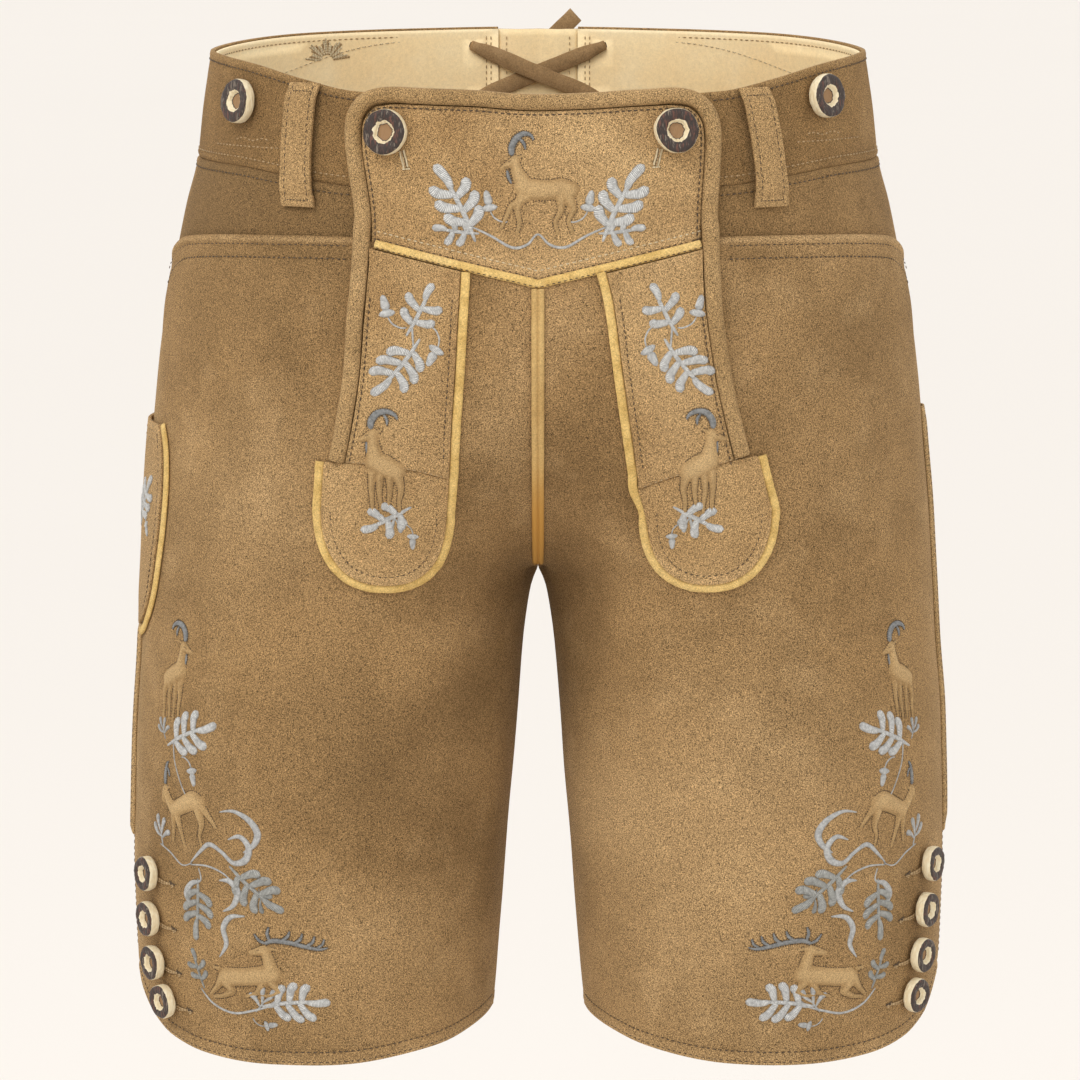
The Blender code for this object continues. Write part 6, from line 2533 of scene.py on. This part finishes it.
    def leg_loop(self, side: Side, reach: float, level: float) -> None:
        """Thread shank from under a leg button to the knot in front of it.

        Args:
            side: the wearer's side.
            reach: the button's distance from the side seam.
            level: its height.
        """
        wrap = LegWrap(side)
        start = reach + 8.0
        end = start + 11.5
        for lift, slack in ((0.0, 0.4), (1.1, 1.0), (0.4, 1.7)):
            rings = []
            for k in range(9):
                t = k / 8.0
                a = lerp(start - 5.0, end - 1.0, t)
                b = level - 0.5 - 2.8 * t + lift * (1 - 0.5 * t) - slack * math.sin(math.pi * t)
                middle = wrap(a, b, 1.3 - 0.8 * t)
                out = (wrap(a, b, 3.3) - middle).normalized()
                along = (wrap(a + 1.0, b, 1.3) - middle).normalized()
                aside = out.cross(along).normalized()
                rings.append([middle + 0.34 * (math.cos(c) * out + math.sin(c) * aside)
                              for c in (0, 1.2566, 2.5133, 3.7699, 5.0265)])
            lay_tube(self.needle.mesh(Thread.TAN), rings, 2.0)
        z = level - 3.2
        for k, (da, db) in enumerate(((-1.4, 0.6), (0.0, -0.5), (1.3, 0.8), (0.6, -1.5), (-0.6, 1.6))):
            ends = [(end + da - 0.9, z + db), (end + da + 0.9, z + db * 0.4)]
            self.needle.run(Thread.TAN if k % 2 else Thread.BROWN, ends, wrap, 1.1, 1.9, 0.8, 0.35, False)


@dataclass
class SidePieces:
    """Knife pocket on the wearer's right and the straps over both side seams."""

    wardrobe: Wardrobe
    needle: Needlework
    fore: Track = field(default_factory=lambda: Track((-257, -252, -242, -222, -201, -181, -162, -155),
                                                      (15, 23.5, 31, 37, 41, 42, 38.5, 34)))
    aft: Track = field(default_factory=lambda: Track((-257, -252, -242, -222, -201, -181, -162, -155),
                                                     (8, 13, 17, 20, 22, 24, 25, 25)))

    def build(self) -> None:
        """Make the pocket, its piping and the straps."""
        self.pocket()
        for side, top, bottom in ((Side.RIGHT, -258.4, -366.0), (Side.LEFT, -149.0, -364.0)):
            self.strap(side, top, bottom)

    def above_pocket(self, y: float, z: float, offset: float) -> Vector:
        """Point above the pocket's leather."""
        return on_knife_side(y, z, CLEAR + CAD_WALL + offset)

    def pocket(self) -> None:
        """Pocket leather with a stitched edge, and its yellow piping."""
        def spot(u: float, v: float, depth: float) -> Vector:
            """Point of the knife pocket.

            Args:
                u: share across the piece.
                v: share along the piece.
                depth: distance into the wall, in millimetres.

            Returns:
                The point, in millimetres.
            """
            z = lerp(-257.0, -155.0, v)
            near = min(u, 1 - u) * (self.fore(z) + self.aft(z))
            rise = 0.35 * bump(near, 1.6, 1.0) - 0.35 * bump(near, 3.2, 0.6)
            rise += 0.5 * math.sin(math.pi * u) * ease(v * 6)
            return on_knife_side(lerp(-self.fore(z), self.aft(z), u), z, CLEAR + CAD_WALL + rise - depth)

        sheet = LeatherSheet(even(26, (0.03, 0.06, 0.09)), even(40), spot, WALL,
                             lambda u, v: 0.55 + 0.3 * bump(v, 1.0, 0.05))
        piece = Piece("knife_pocket_leather", self.wardrobe["suede"], "knife_pocket", "leather", 0.35)
        thing = piece.build(sheet.build())
        levels = (-253, -245, -234, -222, -210, -198, -186, -174, -164, -155)
        path = [(-8.0, -261.6), (-16.5, -260.0), (-24.0, -256.0)]
        path += [(-self.fore(z) - 2.8, z) for z in levels[1:]]
        section = both_sides(((2.0, 0.1), (2.1, 0.7), (1.7, 1.3), (0.6, 1.6)))
        trim = Trim(path, section, lambda a, b, h: on_knife_side(a, b, CLEAR + h), 1.6, 0.26)
        Piece("knife_pocket_piping", self.wardrobe["piping"], "knife_piping", "piping").build(trim.build())
        for edge in (lambda z: -self.fore(z) + 3.4, lambda z: self.aft(z) - 3.2):
            self.needle.run(Thread.BROWN, [(edge(z), z) for z in range(-248, -157, 9)], self.above_pocket,
                            3.0, 2.0, 0.65, 0.1)
        for level in (-159.0, -163.0):
            self.needle.run(Thread.TAN, [(y, level) for y in range(-32, 22, 6)], self.above_pocket,
                            3.0, 2.0, 0.65, 0.5)

    def strap(self, side: Side, top: float, bottom: float) -> None:
        """Narrow strap over a side seam.

        Args:
            side: the wearer's side.
            top: height of its upper end.
            bottom: height of its lower end.
        """
        def spot(u: float, v: float, depth: float) -> Vector:
            """Point of the strap.

            Args:
                u: share across the piece.
                v: share along the piece.
                depth: distance into the wall, in millimetres.

            Returns:
                The point, in millimetres.
            """
            half = 6.5 * (0.75 + 0.25 * ease(v * 6.0))
            crown = 0.3 * math.sin(math.pi * u) - 0.3 * (bump(u, 0.16, 0.05) + bump(u, 0.84, 0.05))
            tuck = 1.3 * (1.0 - ease(v * 22.0)) + 0.7 * (1.0 - ease((1.0 - v) * 22.0))
            tuck = min(1.4, tuck + 1.4 * (bump(u, 0.0, 0.09) + bump(u, 1.0, 0.09)))
            return FORM.on_side(side.sign, lerp(-half, half, u), lerp(bottom, top, v),
                                CLEAR + CAD_WALL + crown - tuck - depth)

        columns = [0, 0.05, 0.1, 0.16, 0.22, 0.35, 0.5, 0.65, 0.78, 0.84, 0.9, 0.95, 1]
        sheet = LeatherSheet(columns, even(round((top - bottom) / 4)), spot, 1.1,
                             lambda u, v: 0.6 * bump(v, 1.0, 0.04) + 0.3)
        piece = Piece(f"seam_strap_{side.value}", self.wardrobe["edge"], f"side_strap_{side.value}",
                      "edge_leather", 0.35)
        thing = piece.build(sheet.build())
        for share in (0.16, 0.84):
            self.needle.run(Thread.BROWN, [(share, lerp(0.02, 0.98, k / 30.0)) for k in range(31)],
                            lambda u, v, h: spot(u, v, -h), 3.1, 2.0, 0.65, 0.05)


@dataclass
class Lacing:
    """Flat lace through four eyelets at centre back."""

    wardrobe: Wardrobe
    half: float = 4.1
    thick: float = 1.7
    section: tuple = ((-1, 0.6), (-0.92, 1), (0, 1.15), (0.92, 1), (1, 0.6),
                      (1, -0.6), (0.92, -1), (0, -1), (-0.92, -1), (-1, -0.6))

    def route(self) -> list[tuple]:
        """Stations of the lace: across, level, offset, width direction and half width.

        Returns:
            The stations, from the free end at the back to the one above the rim.
        """
        over, deep, inside = 1.5, -8.2, -5.6
        low, up = EYELET_LEVELS
        start = [(0.0, up, over, (0, 1), 4.1), (-12.0, up, over, (0, 1), 4.1), (-22.0, up, over, (0, 1), 3.8),
                 (-29.0, up, over + 0.3, (0.05, 1), 3.0), (-32.2, up, over + 0.1, (0.1, 1), 2.5),
                 (-33.4, up, over - 1.2, (0.2, 1), 2.5), (-33.5, up, -1.4, (0.28, 1), 2.5),
                 (-33.5, up, -3.2, (0.35, 1), 2.5), (-33.2, up - 0.1, -4.7, (0.4, 1), 2.5),
                 (-31.4, up - 0.8, inside, (0.4, 1), 2.8), (-27.0, up - 2.6, inside - 0.1, (0.4, 1), 3.6),
                 (-20.0, up - 5.4, inside, (0.4, 1), 4.1)]
        end = [(31.4, low + 0.8, -5.6, (0.4, 1), 2.8), (33.2, low + 0.1, -4.7, (0.4, 1), 2.5),
               (33.5, low, -3.2, (0.35, 1), 2.5), (33.5, low, -1.4, (0.5, 1), 2.5)]
        slope = Vector((2 * EYELET_ACROSS, low - up)).normalized()

        def run(front: bool) -> list[tuple]:
            """One half from the middle over the top to the lower eyelet.

            Args:
                front: True for the lace that crosses in front.

            Returns:
                The stations.
            """
            made = list(start)
            for x in (-11.0, 0.0, 11.0, 20.0, 27.0):
                level = lerp(up - 5.4, low + 2.6, (x + 20.0) / 47.0)
                offset = lerp(inside, deep if front else inside, ease((22.0 - abs(x)) / 14.0))
                made.append((x, level, offset, (-slope.y, slope.x), 4.1 if abs(x) < 24 else 3.6))
            return made + end

        first = run(True) + [
            (33.2, low, 0.6, (0.5, 1), 2.5), (31.2, low - 0.8, over + 0.1, (-0.4, 1), 2.9),
            (25.0, low - 3.6, over + 0.2, (-0.5, 1), 3.7), (17.0, low - 8.6, over, (-0.75, 1), 4.0),
            (11.0, low - 14.5, over, (-1, 0.7), 4.1), (8.0, low - 23.0, over, (-1, 0.2), 4.1),
            (7.0, low - 33.0, over + 0.6, (-1, 0.1), 4.1), (6.8, low - 42.0, over + 1.4, (-1, 0.1), 3.9)]
        second = [(-x, z, offset, (-w[0], w[1]), wide) for x, z, offset, w, wide in run(False)] + [
            (-33.2, low, 0.6, (-0.5, 1), 2.5), (-31.0, low + 1.4, over + 0.2, (-0.6, 0.8), 2.9),
            (-25.0, low + 6.0, over + 0.6, (-0.6, 0.8), 3.7),
            (-17.0, low + 12.0, over + 1.4, (-0.6, 0.8), 4.1),
            (-9.0, low + 18.0, over + 2.3, (-0.6, 0.8), 4.1),
            (-1.0, low + 24.0, over + 2.6, (-0.6, 0.8), 4.1),
            (7.0, low + 30.5, over + 2.6, (-0.6, 0.8), 4.3), (14.0, low + 37.0, over + 2.4, (-0.6, 0.8), 4.4),
            (19.2, low + 42.4, over + 2.0, (-0.6, 0.8), 4.4)]
        return first[::-1] + second[1:]

    def build(self) -> None:
        """Lay the lace along its route."""
        stations = self.route()
        spots = [FORM.on_body(x, z, offset, True) for x, z, offset, _, _ in stations]
        widths: list[Vector] = []
        for (x, z, offset, w, _), spot in zip(stations, spots):
            aside = (FORM.on_body(x + w[0] * 0.5, z + w[1] * 0.5, offset, True) - spot).normalized()
            widths.append(-aside if widths and aside.dot(widths[-1]) < 0.0 else aside)
        rows = [[*spot, *aside, station[4]] for spot, aside, station in zip(spots, widths, stations)]
        fine = self.smoothed(rows, 3)
        rings, route = [], []
        for index, row in enumerate(fine):
            here = Vector(row[:3])
            ahead = Vector(fine[min(index + 1, len(fine) - 1)][:3]) - Vector(fine[max(index - 1, 0)][:3])
            aside = Vector(row[3:6]).normalized()
            normal = aside.cross(ahead).normalized()
            wide = row[6] * (1.0 + 0.05 * noise.noise(here / 6.0))
            bunched = self.thick / 2.0 * min(self.half / row[6], 1.9) ** 1.5
            rings.append([here + aside * wide * side + normal * bunched * up for side, up in self.section])
            route.append(here * MM)
        bm = bmesh.new()
        lay_tube(bm, rings, 2.0)
        thing = Piece("back_lace", self.wardrobe["lace"], "lace", "lace").build(bm)

    @staticmethod
    def smoothed(rows: list[list[float]], steps: int) -> list[list[float]]:
        """Rows of numbers with smooth steps between them.

        Args:
            rows: rows of numbers.
            steps: steps between two rows.

        Returns:
            The rows with their steps.
        """
        padded = [rows[0], *rows, rows[-1]]
        fours = zip(padded, padded[1:], padded[2:], padded[3:])
        return [blend_four(four, k / steps) for four in fours for k in range(steps)] + [rows[-1]]


@dataclass
class Studio:
    """Camera at the photograph's angle, pale floor and soft light."""

    aim: tuple = (0.0010, 0.0, -0.21717)
    distance: float = 2.6
    elevation: float = 8.0
    focal_pixels: float = 5200.0
    frame_pixels: float = 1080.0
    sensor: float = 36.0
    floor_level: float = -0.95
    floor_half: float = 60.0
    floor_tones: tuple = ((0.90, 0.862, 0.818, 1.0), (0.91, 0.872, 0.828, 1.0))
    sky_colour: tuple = (1.0, 0.985, 0.965, 1.0)
    sky_strength: float = 1.04
    light_aim: tuple = (0.0, 0.0, -0.2)
    light_colour: tuple = (1.0, 0.98, 0.95)
    # Each light: name, place, size in metres and power in watts
    lights: tuple = (("key_light", (-0.75, -1.3, 1.15), 0.8, 13.0),
                     ("fill_light", (1.3, -1.2, 0.5), 0.9, 1.8),
                     ("back_light", (0.3, 1.0, 1.3), 0.7, 1.6))

    def camera(self) -> None:
        """Stand the camera in front of the trousers."""
        tilt = math.radians(self.elevation)
        data = bpy.data.cameras.new("photo_camera")
        data.sensor_width = self.sensor
        data.lens = self.sensor * self.focal_pixels / self.frame_pixels
        data.clip_end = 200.0
        eye = bpy.data.objects.new("photo_camera", data)
        eye.location = Vector(self.aim) + self.distance * Vector((0.0, -math.cos(tilt), math.sin(tilt)))
        eye.rotation_euler = (math.pi / 2.0 - tilt, 0.0, 0.0)
        bpy.context.scene.collection.objects.link(eye)
        bpy.context.scene.camera = eye

    def surroundings(self) -> None:
        """Floor, lights and sky."""
        bm = bmesh.new()
        bmesh.ops.create_grid(bm, x_segments=8, y_segments=8, size=self.floor_half)
        bmesh.ops.translate(bm, verts=bm.verts, vec=(0.0, 0.0, self.floor_level))
        mesh = bpy.data.meshes.new("floor")
        bm.to_mesh(mesh)
        bm.free()
        paint, wires, shader = start_material("floor_paint")
        chart = wires.add("ShaderNodeTexCoord")
        cloud = wires.noise(chart.outputs["Object"], 0.6, 3.0, 0.5)
        wires.join(wires.mix(cloud, *self.floor_tones), shader.inputs["Base Color"])
        shader.inputs["Roughness"].default_value = 0.9
        shader.inputs["Specular IOR Level"].default_value = 0.1
        mesh.materials.append(paint)
        floor = bpy.data.objects.new("floor", mesh)
        bpy.context.scene.collection.objects.link(floor)
        world = bpy.data.worlds.new("studio_sky")
        bpy.context.scene.world = world
        world.use_nodes = True
        sky = world.node_tree.nodes["Background"]
        sky.inputs["Color"].default_value = self.sky_colour
        sky.inputs["Strength"].default_value = self.sky_strength
        for name, spot, size, power in self.lights:
            data = bpy.data.lights.new(name, "AREA")
            data.size, data.energy, data.color = size, power, self.light_colour
            lamp = bpy.data.objects.new(name, data)
            lamp.location = spot
            lamp.rotation_mode = "QUATERNION"
            lamp.rotation_quaternion = (Vector(self.light_aim) - Vector(spot)).to_track_quat("-Z", "Y")
            bpy.context.scene.collection.objects.link(lamp)
        bpy.context.scene.view_settings.view_transform = "Standard"


def main() -> None:
    """Build the trousers and the studio."""
    logging.basicConfig(level=logging.INFO, format="%(relativeCreated)d ms: %(message)s")
    for leftover in list(bpy.data.objects):
        bpy.data.objects.remove(leftover)
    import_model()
    studio = Studio()
    studio.camera()
    wardrobe = Wardrobe()
    wardrobe.hang()
    needle = Needlework(wardrobe)
    Lacing(wardrobe).build()
    LegPanels(wardrobe, needle).build()
    Waist(wardrobe, needle).build()
    DropFlap(wardrobe, needle).build()
    SidePieces(wardrobe, needle).build()
    AntlerButtons(wardrobe, needle).build()
    embroidery = Embroidery(wardrobe, needle)
    embroidery.flap()
    embroidery.pocket()
    for side in Side:
        embroidery.strip(side)
        embroidery.leg(side)
    embroidery.finish()
    needle.finish()
    studio.surroundings()


if __name__ == "__main__":
    main()
